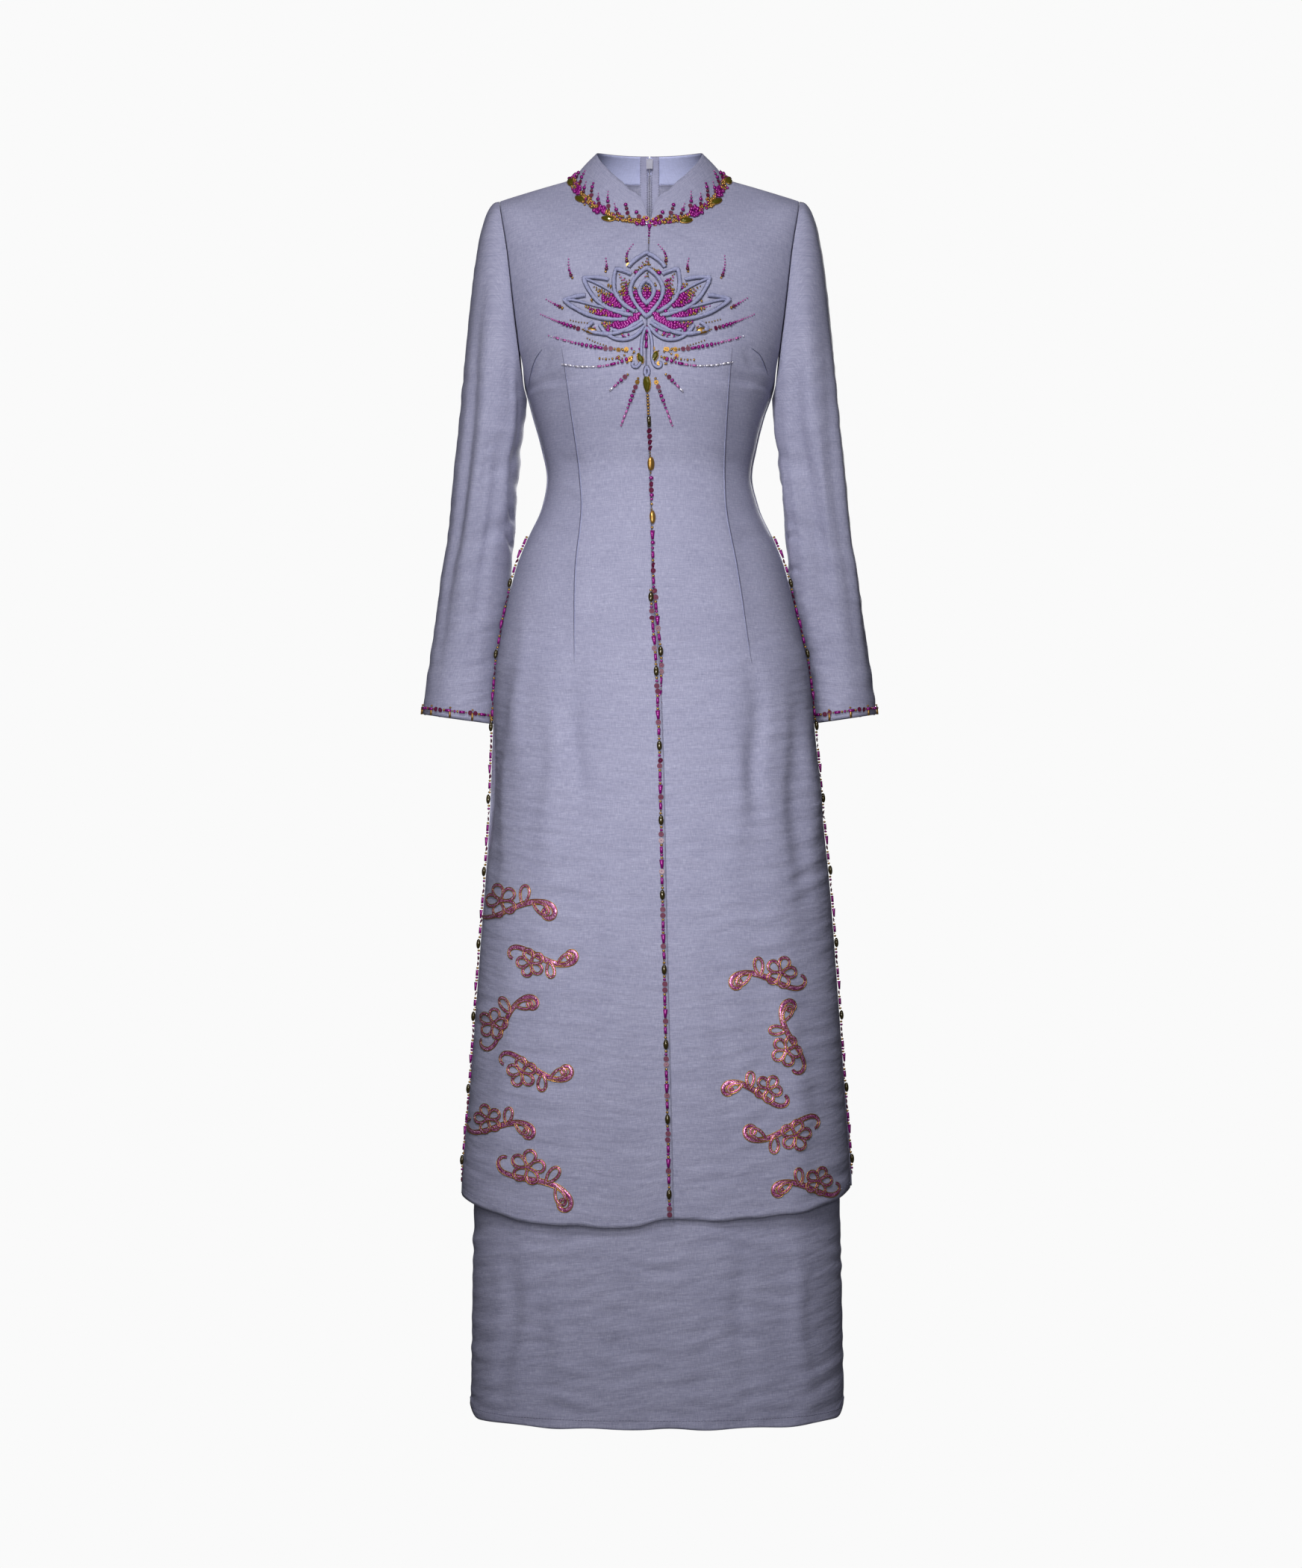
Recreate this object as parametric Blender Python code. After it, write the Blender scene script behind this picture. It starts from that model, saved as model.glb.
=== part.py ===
"""Ao dai tunic: a long Vietnamese tunic with a stand collar, set-in sleeves, a split outer front over a longer
inner front flap, and a back with a concealed zip. It keeps the hollow form of a worn garment.

Sizes are millimetres until a mesh is made. The front faces -Y, +Z is up, and left and right are the viewer's.
The origin is where the wearer's neck and shoulders hold the tunic, between the two ends of the neck seam.
"""

import math

import bmesh
import bpy
import numpy as np
from mathutils import Matrix, Vector
from mathutils.bvhtree import BVHTree

MM = 0.001
FRONT, BACK = -1, 1
LEFT, RIGHT = -1, 1
PI = math.pi

# Driving dimensions
WALL = 1.6
SEAM = 0.3
NECK_HALF_WIDTH = 86.0
NECK_FRONT, NECK_BACK = 66.0, 72.0
NECK_SEAM_TOP = 1.0
SHOULDER_POINT = (171.0, 0.0, -24.0)
COLLAR_TOP_HALF_WIDTH = 60.0
COLLAR_TOP_FRONT, COLLAR_TOP_BACK = 52.0, 58.0
COLLAR_CORNER = 13.0
COLLAR_NOTCH_HALF_WIDTH = 10.0
COLLAR_ZIP_HALF_GAP = 0.8
COLLAR_BOW = 1.5
COLLAR_STATIONS = tuple(range(0, 166, 15)) + (169, 172.5, 175.5, 178, 180)
OUTER_HEM_Z = {LEFT: -1177.0, RIGHT: -1169.0}
OUTER_HEM_RISE = 24.0
LONG_HEM_Z = -1400.0
SIDE_SLIT_HALF_GAP = 7.0
BACK_NARROWER = 17.0
UNDER_FLAP_TOP_Z = -392.0
UNDER_FLAP_COLUMNS, UNDER_FLAP_ROWS = 20, 20
# At its top and lower down: how far the inner flap lies inside the outer front, and how much narrower it is
UNDER_FLAP_BEHIND = (2.6, 7.2)
UNDER_FLAP_NARROWER = (2.0, 6.0)
UNDER_FLAP_WRAP = 0.93
SHOULDER_ROUNDING = {FRONT: 85.0, BACK: 60.0}
YOKE_SLOPE = -60.0
YOKE_FULLNESS = 41.0

# The grid of a panel: rows 0 to ARMHOLE_ROWS end on the armhole, rows 0 to NECK_ROWS start on the neck seam.
COLUMNS = 12
NECK_ROWS, ARMHOLE_ROWS, SLIT_ROW = 6, 12, 18
FRONT_ROWS, BACK_ROWS = 34, 36
NECK_STATION = PI / 2 / NECK_ROWS
CENTRE_ABOVE_UNDERARM = 9.0
SIDE_SPACING = 0.87
# Rows over which the points' even spacing turns to one that is closer at the sides, as a share of the armhole rows
ROUNDED_ROWS = (0.4, 1.0)
# Rows over which the back turns from a flat yoke into the form, as a share of the armhole rows
YOKE_ROWS = (0.25, 0.9)
# How far across a panel its fit to the neck seam fades out, and where its fit to the armhole begins
NECK_EASE, ARMHOLE_EASE = 0.55, 0.35
HEM_ROWS, SLIT_OPENING_ROWS = 5, 8

# Finishes: name, colour, roughness, metallic
CLOTH = ("silk_linen", "#8f8da9", 0.62, 0.0)
INSIDE_TRIM = ("zip_ribbon", "#a6a8c6", 0.6, 0.0)
STONE = ("cut_glass", "#6f6121", 0.15, 0.0)
METAL = ("zip_metal", "#c9c8d2", 0.35, 0.8)


def table(names, *rows):
    """A short table with named columns: reader(name, at) reads a column at any place along the first one."""
    names = names.split()
    columns = {name: np.array(column, float) for name, column in zip(names, zip(*sorted(rows)))}
    places = columns[names[0]]

    def reader(name, at):
        values = columns[name]
        rise = np.diff(values) / np.diff(places)
        both = rise[:-1] * rise[1:]
        slope = np.zeros(len(values))
        slope[0], slope[-1] = rise[0], rise[-1]
        same = both > 0
        slope[1:-1][same] = 2 * both[same] / (rise[:-1] + rise[1:])[same]
        at = min(max(at, places[0]), places[-1])
        k = min(int(np.searchsorted(places, at, side="right")) - 1, len(places) - 2)
        width = places[k + 1] - places[k]
        t = (at - places[k]) / width
        start = values[k] * (1 + 2 * t) * (1 - t) ** 2 + values[k + 1] * (3 - 2 * t) * t**2
        return start + width * t * (1 - t) * (slope[k] * (1 - t) - slope[k + 1] * t)

    return reader


# The hollow form by height: half width at the sides, and depth before and behind the side seams.
FORM = table(
    "z      width  front  back  square lean",
    (6.5,    176.0,  20.0,  72.3, 2.3,  0.0),
    (-15,    176.0,  37.0,  77.0, 2.3,  0.0),
    (-31,    175.0,  50.0,  82.0, 2.3,  0.0),
    (-60,    174.0,  67.0,  91.0, 2.3,  0.0),
    (-100,   173.0,  88.0, 101.0, 2.3,  0.0),
    (-145,   168.0, 108.0, 106.0, 2.3,  0.0),
    (-195,   154.0, 123.0, 104.0, 2.35, 0.0),
    (-230,   144.5, 125.0,  99.0, 2.4,  0.0),
    (-247,   139.5, 123.0,  96.0, 2.4,  0.0),
    (-271,   132.0, 117.0,  92.0, 2.4, -1.0),
    (-305,   123.0, 106.0,  87.0, 2.35, -0.5),
    (-339,   117.0,  98.0,  84.0, 2.3,  0.0),
    (-373,   123.7,  99.0,  86.0, 2.3,  1.0),
    (-407,   139.0, 103.0,  91.0, 2.3,  1.0),
    (-441,   152.5, 107.0,  97.0, 2.3,  1.0),
    (-486,   163.5, 111.0, 104.0, 2.35, 1.0),
    (-523,   171.5, 113.0, 109.0, 2.35, 2.0),
    (-557,   177.5, 115.0, 112.0, 2.4,  3.0),
    (-628,   183.0, 117.0, 113.0, 2.4,  5.0),
    (-722,   189.0, 119.0, 115.0, 2.4,  7.5),
    (-824,   197.5, 121.0, 118.0, 2.4,  9.0),
    (-926,   205.0, 123.0, 121.0, 2.45, 9.0),
    (-1028,  212.0, 125.0, 124.0, 2.5,  9.0),
    (-1150,  221.0, 128.0, 127.0, 2.5,  8.5),
    (-1400,  226.0, 132.0, 133.0, 2.5,  9.0),
)

NECK_SEAM_HEIGHT = table(
    "y     z",
    (-66.0, -60.0),
    (-57.7, -52.0),
    (-37.8, -31.0),
    (-20.8, -15.5),
    (0.0,    1.0),
    (40.0,   4.5),
    (72.0,   6.5),
)

COLLAR_TOP_HEIGHT = table(
    "y     z",
    (-52.0, -22.0),
    (-44.7,  -9.0),
    (-25.0,  14.0),
    (0.0,    30.0),
    (30.0,   35.0),
    (58.0,   37.0),
)

# The armhole seam from the shoulder point (part 0) to the underarm point (part 1).
ARMHOLE = {
    FRONT: table(
        "part  x      y      z",
        (0.00, 171.0,   0.0,  -24.0),
        (0.10, 169.0, -20.0,  -38.0),
        (0.30, 161.0, -39.0,  -86.0),
        (0.55, 154.0, -49.0, -145.0),
        (0.78, 147.5, -42.0, -196.0),
        (0.92, 143.0, -22.0, -232.0),
        (1.00, 139.5,   0.0, -247.0),
    ),
    BACK: table(
        "part  x      y      z",
        (0.00, 171.0,   0.0,  -24.0),
        (0.10, 169.0,  23.0,  -38.0),
        (0.30, 161.0,  45.0,  -86.0),
        (0.55, 153.5,  54.0, -147.0),
        (0.78, 147.5,  45.0, -197.0),
        (0.92, 143.5,  24.0, -232.0),
        (1.00, 139.5,   0.0, -247.0),
    ),
}

# The sleeve below the underarm, by height: its middle and its half width and half depth.
SLEEVE = table(
    "z      x      y     width  depth",
    (-290, 180.7,  6.0, 37.8, 54.0),
    (-322, 184.7, 11.0, 37.8, 52.5),
    (-356, 188.2, 16.0, 37.8, 50.5),
    (-407, 193.0, 26.0, 38.5, 48.5),
    (-441, 198.0, 34.0, 40.0, 47.5),
    (-475, 201.3, 42.0, 41.7, 47.0),
    (-509, 206.8, 50.0, 41.2, 46.5),
    (-543, 212.0, 57.0, 41.5, 46.5),
    (-577, 215.7, 61.0, 42.7, 46.5),
    (-613, 218.3, 64.0, 44.3, 47.0),
)
SLEEVE_TOP_Z, CUFF_Z = -290.0, -613.0
CUFF_RISE = 6.0
CAP_RINGS, ARM_RINGS = 6, 11
# How far the cap's curve runs straight on from the armhole and into the sleeve, at the shoulder and the underarm,
# as a share of the distance between them
CAP_LEAVE, CAP_ARRIVE = (0.10, 0.33), (0.60, 0.33)
CAP_FORWARD, CAP_OUTWARD = 0.30, 0.32

# The centre front line and, below it, the edges of the centre slit. The left edge laps over the right one.
CENTRE = table(
    "z       left   right  tuck",
    (-60,    0.0,   0.0,  0.0),
    (-100,  -1.0,  -1.0,  0.0),
    (-224,  -3.4,  -3.4,  0.0),
    (-314,   0.0,   0.0,  0.0),
    (-371,   1.7,   1.7,  0.0),
    (-480,   4.5,   4.5,  0.0),
    (-518,   7.6,   7.6,  1.0),
    (-556,  11.0,  11.0,  3.2),
    (-600,  13.5,   8.0,  3.4),
    (-640,  15.0,   4.0,  3.4),
    (-800,  18.5,   0.0,  3.4),
    (-1180, 27.0,   0.0,  3.4),
)
TUCK_REACH = (38.0, 95.0)

# Where the ends of the rows below the armhole lie.
ROW_HEIGHT = table(
    "row  front  back",
    (0,      0,     0),
    (12,  -247,  -247),
    (15,  -318,  -318),
    (18,  -403,  -403),
    (22,  -560,  -560),
    (34, -1176, -1280),
    (36, -1280, -1400),
)

# Soft flutes of the hanging flaps: where each stands at its top and its hem, and how far it stands out.
FLUTES = {
    FRONT: (
        # x_top  x_hem  z_top   half_width  height
        (-104, -150, -620, 34, 3.4),
        (-48, -66, -760, 36, 2.2),
        (62, 84, -720, 40, 2.6),
        (128, 176, -560, 30, 4.2),
    ),
    BACK: (
        (-110, -152, -600, 38, 5.0),
        (-40, -52, -680, 40, 4.2),
        (38, 56, -640, 40, 4.6),
        (108, 150, -600, 38, 5.0),
    ),
}
FLUTE_FOOT_Z = -1250.0

# Soft folds across the sleeve, by height on its middle line: how far round from the outside each is centred.
SLEEVE_FOLDS = (
    # z     turn   slant  half_height  depth
    (-318, 2.6, 18, 16, 2.6),
    (-352, 3.3, -14, 15, 2.2),
    (-398, 2.2, 22, 18, 2.4),
    (-436, 3.9, -12, 16, 1.8),
    (-505, 1.2, 26, 24, 1.6),
)

ZIP_TAPE_INNER, ZIP_TAPE_WIDTH, ZIP_TAPE_WALL = 2.3, 8.7, 0.9
ZIP_COIL_HALF_WIDTH, ZIP_COIL_DEPTH = 1.8, 1.5
ZIP_COLLAR_ROWS, ZIP_PANEL_ROWS, ZIP_COLLAR_REACH = 3, 10, 0.97
LAYER_GAP = 0.7
SLIDER_UP = 0.8
HINGE_OUT = 2.15

CORD_RADIUS = 2.3
CORD_GAP = 0.9
# How far from a petal's foot its cord begins and ends, so that the two ends lie clear of each other
CORD_FOOT_GAP = 5.0
LOTUS_BASE = (-3.0, -173.0)
# The lotus petals from front to back: the lean from upright, where each starts and ends, and its half width.
PETALS = (
    # lean  foot  tip  half_width
    (0,    15,  44,  8.0),
    (0,     0,  58, 18.0),
    (31,    0,  66, 15.5),
    (-31,   0,  66, 15.5),
    (0,    18,  76, 23.0),
    (56,    0,  84, 15.0),
    (-56,   0,  84, 15.0),
    (76,    0,  94, 12.5),
    (-76,   0,  94, 12.5),
    (100,   2,  68, 11.0),
    (-100,  2,  68, 11.0),
)
PETAL_SAMPLES, PETAL_POINTS = 260, 19

STONE_SEGMENTS = 8
NECK_STONE_BELOW = 4.2
# Stones round the front neck seam, by the angle from the centre front.
NECK_STONES = (-82, -60, -31, 27, 57, 84)
# Stones under the lotus: x, z, turn from upright, length, width
CHEST_STONES = (
    (-10.0, -218.5, -24, 12.0, 6.5),
    (6.0, -216.0, 24, 12.0, 6.5),
    (-2.5, -245.5, 0, 19.0, 9.0),
)
NECK_STONE_SIZE = (15.0, 7.5)
STONE_HEIGHT, STONE_GAP = 3.6, 0.5


def linear(hex_colour):
    """The linear colour of an sRGB hex value."""
    parts = [int(hex_colour[k : k + 2], 16) / 255 for k in (1, 3, 5)]
    return [part / 12.92 if part <= 0.04045 else ((part + 0.055) / 1.055) ** 2.4 for part in parts] + [1]


def material(finish):
    name, colour, roughness, metallic = finish
    made = bpy.data.materials.get(name) or bpy.data.materials.new(name)
    made.use_nodes = True
    shader = made.node_tree.nodes["Principled BSDF"]
    shader.inputs["Base Color"].default_value = linear(colour)
    shader.inputs["Roughness"].default_value = roughness
    shader.inputs["Metallic"].default_value = metallic
    return made


def step(low, high, at):
    """0 up to low and 1 past high, with a smooth rise between them."""
    t = min(max((at - low) / (high - low), 0.0), 1.0)
    return t * t * (3 - 2 * t)


def hump(distance, half_width):
    """A soft hump, 1 in the middle and 0 past its half width."""
    return math.cos(PI / 2 * min(abs(distance) / half_width, 1.0)) ** 2


def flutes(face, x, z):
    """How far the flutes of the hanging flaps stand out at a point."""
    out = 0.0
    for x_top, x_hem, z_top, half_width, height in FLUTES[face]:
        down = min(max((z_top - z) / (z_top - FLUTE_FOOT_Z), 0.0), 1.25)
        middle = x_top + (x_hem - x_top) * down
        out += height * step(0, 0.5, down) * hump(x - middle, half_width * (1 + 0.3 * down))
    return out


def form_width(face, z):
    """The half width of the hollow form. The back flap hangs a little narrower than the front."""
    return FORM("width", z) - (BACK_NARROWER * step(540, 1050, -z) if face == BACK else 0.0)


def form_depth(face, x, z):
    """How far the cloth stands from the plane of the side seams at a point seen from the front."""
    width = form_width(face, z)
    square = FORM("square", z)
    depth = FORM("front" if face == FRONT else "back", z)
    out = max(1 - abs((x - FORM("lean", z)) / width) ** square, 0.0) ** (1 / square)
    past_neck = (abs(x) - NECK_HALF_WIDTH) / (SHOULDER_POINT[0] - NECK_HALF_WIDTH)
    slope = YOKE_SLOPE if face == BACK and past_neck < 0 else SHOULDER_POINT[2] - NECK_SEAM_TOP
    drop = NECK_SEAM_TOP + slope * past_neck - z
    t = min(max(drop / SHOULDER_ROUNDING[face], 0.0), 1.0)
    return out * (depth * math.sqrt(1 - (1 - t) ** 2) + flutes(face, x, z) * out)


def neck_seam(face, turn):
    """A point of the neck seam: turn 0 is the centre front or back, and 90 degrees the side.

    It runs straight between its stations, where the rows of the panels and the collar meet it.
    """
    place = turn / NECK_STATION
    low = math.floor(place + 1e-6)

    def station(number):
        y = face * (NECK_FRONT if face == FRONT else NECK_BACK) * math.cos(number * NECK_STATION)
        return Vector((NECK_HALF_WIDTH * math.sin(number * NECK_STATION), y, NECK_SEAM_HEIGHT("z", y)))

    return station(low).lerp(station(low + 1), place - low)


def armhole(face, part):
    return Vector([ARMHOLE[face](axis, part) for axis in "xyz"])


def centre_edge(face, side, z):
    """The x of a panel's edge at the centre front or centre back."""
    if face == BACK:
        return FORM("lean", z) * step(-480, -700, z) + side * SEAM / 2
    return CENTRE("left" if side == LEFT else "right", z) + side * SEAM / 2


def row_start(face, side, edge_z, row):
    """Where a row starts: on the neck seam, or below it on the centre front or back."""
    if row < NECK_ROWS:
        start = neck_seam(face, PI / 2 - row * NECK_STATION)
        start.x = max(start.x, SEAM / 2)
        return start
    if row < ARMHOLE_ROWS:
        top = neck_seam(face, 0).z
        down = (row - NECK_ROWS) / (ARMHOLE_ROWS - NECK_ROWS)
        z = top + (edge_z + CENTRE_ABOVE_UNDERARM - top) * down
    else:
        z = edge_z + CENTRE_ABOVE_UNDERARM * (1 - step(ARMHOLE_ROWS, SLIT_ROW, row))
    x = centre_edge(face, side, z)
    return Vector((side * (x - FORM("lean", z)), face * form_depth(face, x, z), z))


def panel_point(face, side, hem, u, row, rows):
    """A point of a panel. u runs from the centre to the side, and row from the shoulder to the hem."""
    heights = "front" if face == FRONT else "back"
    edge_z = ROW_HEIGHT(heights, row)
    edge_z += (hem - ROW_HEIGHT(heights, rows)) * step(SLIT_ROW, rows, row)
    start = row_start(face, side, edge_z, row)
    if row < ARMHOLE_ROWS:
        end = armhole(face, row / ARMHOLE_ROWS)
    else:
        end = Vector((form_width(face, edge_z), 0.0, edge_z))
    rounded = step(*ROUNDED_ROWS, row / ARMHOLE_ROWS)
    across = (1 - rounded) * u + rounded * math.sin(PI / 2 * u) ** SIDE_SPACING
    rise = OUTER_HEM_RISE * step(rows - HEM_ROWS, rows, row) if face == FRONT else 0.0
    z = start.z + (end.z - start.z) * across + rise * across**4
    lean = FORM("lean", z)
    x = lean + side * (start.x + (end.x - start.x) * across)
    y = face * form_depth(face, x, z)
    formed = 1.0
    if face == BACK and row < ARMHOLE_ROWS:
        ruled = start.y + (end.y - start.y) * across**2
        fullness = YOKE_FULLNESS * math.sin(PI / 2 * min(row / NECK_ROWS, 1))
        ruled += fullness * across * math.sin(PI * across)
        formed = step(*YOKE_ROWS, row / ARMHOLE_ROWS)
        y = ruled + (y - ruled) * formed
    if row < NECK_ROWS:
        wanted = start.y - face * form_depth(face, lean + side * start.x, start.z)
        y += formed * wanted * (1 - step(0, NECK_EASE, across))
    if row < ARMHOLE_ROWS:
        wanted = end.y - face * form_depth(face, lean + side * end.x, end.z)
        y += formed * wanted * step(ARMHOLE_EASE, 1, across)
    if face == FRONT and side == RIGHT:
        y += CENTRE("tuck", z) * (1 - step(*TUCK_REACH, x))
    apart = SEAM / 2 + SIDE_SLIT_HALF_GAP * step(SLIT_ROW, SLIT_ROW + SLIT_OPENING_ROWS, row)
    return Vector((x, face * max(face * y, apart), z))


def cloth(name, columns, rows, place, wall_way=None, wall=WALL, turned=False, finish=CLOTH, ring=False):
    """A cloth piece: a flat grid, each point moved to place(u, v), with a wall on its inner side.

    wall_way(u, v, normal) may turn the wall where a seam meets another piece, so that the two lie side by side.
    """
    sheet = bmesh.new()
    bmesh.ops.create_grid(sheet, x_segments=columns, y_segments=rows, size=0.5)
    where = {}
    for point in sheet.verts:
        u, v = point.co.x + 0.5, point.co.y + 0.5
        where[point] = (u, v)
        point.co = place(u, v)
    if turned:
        bmesh.ops.reverse_faces(sheet, faces=sheet.faces)
    if ring:
        bmesh.ops.remove_doubles(sheet, verts=sheet.verts, dist=0.001)
        where = {point: where[point] for point in sheet.verts}
    sheet.normal_update()
    outer_faces = list(sheet.faces)
    rim = [edge for edge in sheet.edges if edge.is_boundary]
    ways = {}
    for point in sheet.verts:
        way = point.normal.copy()
        ways[point] = wall_way(*where[point], way).normalized() if wall_way else way
    copied = bmesh.ops.duplicate(sheet, geom=list(sheet.verts) + list(sheet.edges) + outer_faces)
    inner = {point: copied["vert_map"][point] for point in ways}
    for point, way in ways.items():
        inner[point].co = point.co - way * wall
    bmesh.ops.reverse_faces(sheet, faces=[face for face in copied["geom"] if isinstance(face, bmesh.types.BMFace)])
    for edge in rim:
        face = edge.link_faces[0]
        loop = next(loop for loop in face.loops if loop.edge == edge)
        first, second = loop.vert, loop.link_loop_next.vert
        sheet.faces.new((second, first, inner[first], inner[second]))
    bmesh.ops.scale(sheet, verts=sheet.verts, vec=(MM, MM, MM))
    return add(name, sheet, finish)


def add(name, made, finish):
    mesh = bpy.data.meshes.new(name)
    made.to_mesh(mesh)
    made.free()
    mesh.shade_smooth()
    mesh.materials.append(material(finish))
    piece = bpy.data.objects.new(name, mesh)
    tunic.objects.link(piece)
    return piece


def seam_way(face):
    """Turns a panel's wall along its seams, so that it lies side by side with the next piece."""

    def turn(u, v, way):
        row = v * (FRONT_ROWS if face == FRONT else BACK_ROWS)
        if row < 0.5 or (u > 0.99 and row > ARMHOLE_ROWS - 0.5):
            way.y = 0.0
        elif u > 0.99:
            way.x *= 1 - math.cos(PI / 2 * row / ARMHOLE_ROWS) ** 2
        if u < 0.01 and row > NECK_ROWS - 0.5:
            way.x = 0.0
        return way

    return turn


def make_front(side):
    def place(u, v):
        return panel_point(FRONT, side, OUTER_HEM_Z[side], u, v * FRONT_ROWS, FRONT_ROWS)

    name = "front_left" if side == LEFT else "front_right"
    return cloth(name, COLUMNS, FRONT_ROWS, flip_rows(place), flip_way(seam_way(FRONT)), turned=side == LEFT)


def flip_rows(place):
    """Rows are numbered from the top, while a new grid's second axis runs up."""
    return lambda u, v: place(u, 1 - v)


def flip_way(way):
    return lambda u, v, normal: way(u, 1 - v, normal)


def make_back(side):
    def place(u, v):
        return panel_point(BACK, side, LONG_HEM_Z, u, v * BACK_ROWS, BACK_ROWS)

    name = "back_left" if side == LEFT else "back_right"
    return cloth(name, COLUMNS, BACK_ROWS, flip_rows(place), flip_way(seam_way(BACK)), turned=side == RIGHT)


def make_under_flap():
    """The long inner front flap: close behind the outer front at its top, and further behind it lower down."""
    wrap = PI / 2 * UNDER_FLAP_WRAP

    def place(u, v):
        z = UNDER_FLAP_TOP_Z + (LONG_HEM_Z - UNDER_FLAP_TOP_Z) * v
        behind = np.interp(step(0, 0.22, v), (0, 1), UNDER_FLAP_BEHIND)
        width = FORM("width", z) - behind - np.interp(step(0, 0.5, v), (0, 1), UNDER_FLAP_NARROWER)
        turn = wrap * (2 * u - 1)
        x = width * math.copysign(abs(math.sin(turn) / math.sin(wrap)) ** SIDE_SPACING, turn)
        lean, square = FORM("lean", z), FORM("square", z)
        out = (1 - abs(x / (width + SEAM)) ** square) ** (1 / square)
        depth = FORM("front", z) - behind + flutes(FRONT, lean + x, z) * out
        return Vector((lean + x, -out * depth, z))

    return cloth("front_under_flap", UNDER_FLAP_COLUMNS, UNDER_FLAP_ROWS, flip_rows(place))


def sleeve_ring(side, turn, z):
    """A point round the sleeve below the underarm: turn 0 is its outer side, and it runs forwards."""
    fold = 0.0
    aside = max(side * FORM("lean", z), 0.0)
    for fold_z, fold_turn, slant, half_height, depth in SLEEVE_FOLDS:
        off = math.atan2(math.sin(turn - fold_turn), math.cos(turn - fold_turn))
        fold += depth * hump(z - fold_z - slant * off, half_height) * hump(off, 1.5)
    x = SLEEVE("x", z) + (SLEEVE("width", z) - fold) * math.cos(turn) + aside * (1 - math.cos(turn)) / 2
    y = SLEEVE("y", z) - (SLEEVE("depth", z) - fold) * math.sin(turn)
    return Vector((x, y, z))


def sleeve_point(side, turn, ring):
    """A point of a sleeve, from the armhole (ring 0) over the cap to the cuff."""
    face, part = (FRONT, turn / PI) if turn <= PI else (BACK, 2 - turn / PI)
    if ring < CAP_RINGS:
        start = armhole(face, part) + Vector((SEAM + 0.1, 0, 0))
        end = sleeve_ring(side, turn, SLEEVE_TOP_Z)
        top = math.cos(turn / 2) ** 2
        reach = (end - start).length
        outward = top + CAP_OUTWARD * (1 - top) * abs(math.sin(turn))
        leave = Vector((outward, -CAP_FORWARD * math.sin(turn), 0.9 * top - 1))
        leave = leave.normalized() * reach * np.interp(top, (0, 1), CAP_LEAVE[::-1])
        arrive = Vector((0.10, 0.06, -1.0)).normalized() * reach * np.interp(top, (0, 1), CAP_ARRIVE[::-1])
        t = ring / CAP_RINGS
        bend = [(1 - t) ** 3, 3 * t * (1 - t) ** 2, 3 * t * t * (1 - t), t**3]
        point = start * bend[0] + (start + leave) * bend[1] + (end - arrive) * bend[2] + end * bend[3]
    else:
        t = (ring - CAP_RINGS) / ARM_RINGS
        z = SLEEVE_TOP_Z + (CUFF_Z - SLEEVE_TOP_Z) * t
        point = sleeve_ring(side, turn, z)
        point.z += CUFF_RISE * t**6 * math.cos(turn)
    return Vector((side * point.x, point.y, point.z))


def make_sleeve(side):
    rings = CAP_RINGS + ARM_RINGS

    def place(u, v):
        return sleeve_point(side, 2 * PI * (u % 1.0), v * rings)

    def turn_wall(u, v, way):
        if v < 0.01:
            part = u * 2 if u <= 0.5 else 2 - u * 2
            way.x *= 1 - math.cos(PI / 2 * part) ** 2
        return way

    name = "sleeve_left" if side == LEFT else "sleeve_right"
    columns = 2 * ARMHOLE_ROWS
    return cloth(name, columns, rings, flip_rows(place), flip_way(turn_wall), turned=side == RIGHT, ring=True)


def collar_point(side, turn, up):
    """A point of the stand collar: turn 0 is the centre back and 180 degrees the front edge, up 1 its top edge."""
    face = BACK if turn <= PI / 2 else FRONT
    base = neck_seam(face, turn if face == BACK else PI - turn)
    y = (COLLAR_TOP_BACK if face == BACK else COLLAR_TOP_FRONT) * math.cos(turn)
    top = Vector((COLLAR_TOP_HALF_WIDTH * math.sin(turn), y, COLLAR_TOP_HEIGHT("z", y)))
    base.z += SEAM + 0.4 * max(math.cos(turn), 0.0)
    from_edge = (PI - turn) * (COLLAR_TOP_HALF_WIDTH + NECK_HALF_WIDTH) / 2
    into_corner = max(1 - from_edge / COLLAR_CORNER, 0.0)
    cut = COLLAR_CORNER * (1 - math.sqrt(1 - into_corner**2)) / (top - base).length
    t = up * (1 - cut)
    point = base.lerp(top, t)
    bow = COLLAR_BOW * math.sin(PI * t)
    notch = COLLAR_NOTCH_HALF_WIDTH * t * step(0.80 * PI, PI, turn)
    zip_room = (COLLAR_ZIP_HALF_GAP - SEAM / 2) * (1 - step(0.0, NECK_STATION, turn))
    point += Vector((bow * math.sin(turn) + notch + zip_room + SEAM / 2, bow * math.cos(turn), 0))
    return Vector((side * point.x, point.y, point.z))


def make_collar(side):
    def place(u, v):
        part = u * (len(COLLAR_STATIONS) - 1)
        low = min(int(part + 1e-6), len(COLLAR_STATIONS) - 2)
        turn = COLLAR_STATIONS[low] + (COLLAR_STATIONS[low + 1] - COLLAR_STATIONS[low]) * (part - low)
        return collar_point(side, math.radians(turn), v)

    def turn_wall(u, v, way):
        if u < 0.01:
            way.x = 0.0
        return way

    name = "collar_left" if side == LEFT else "collar_right"
    return cloth(name, len(COLLAR_STATIONS) - 1, 4, place, turn_wall, turned=side == RIGHT)


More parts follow.
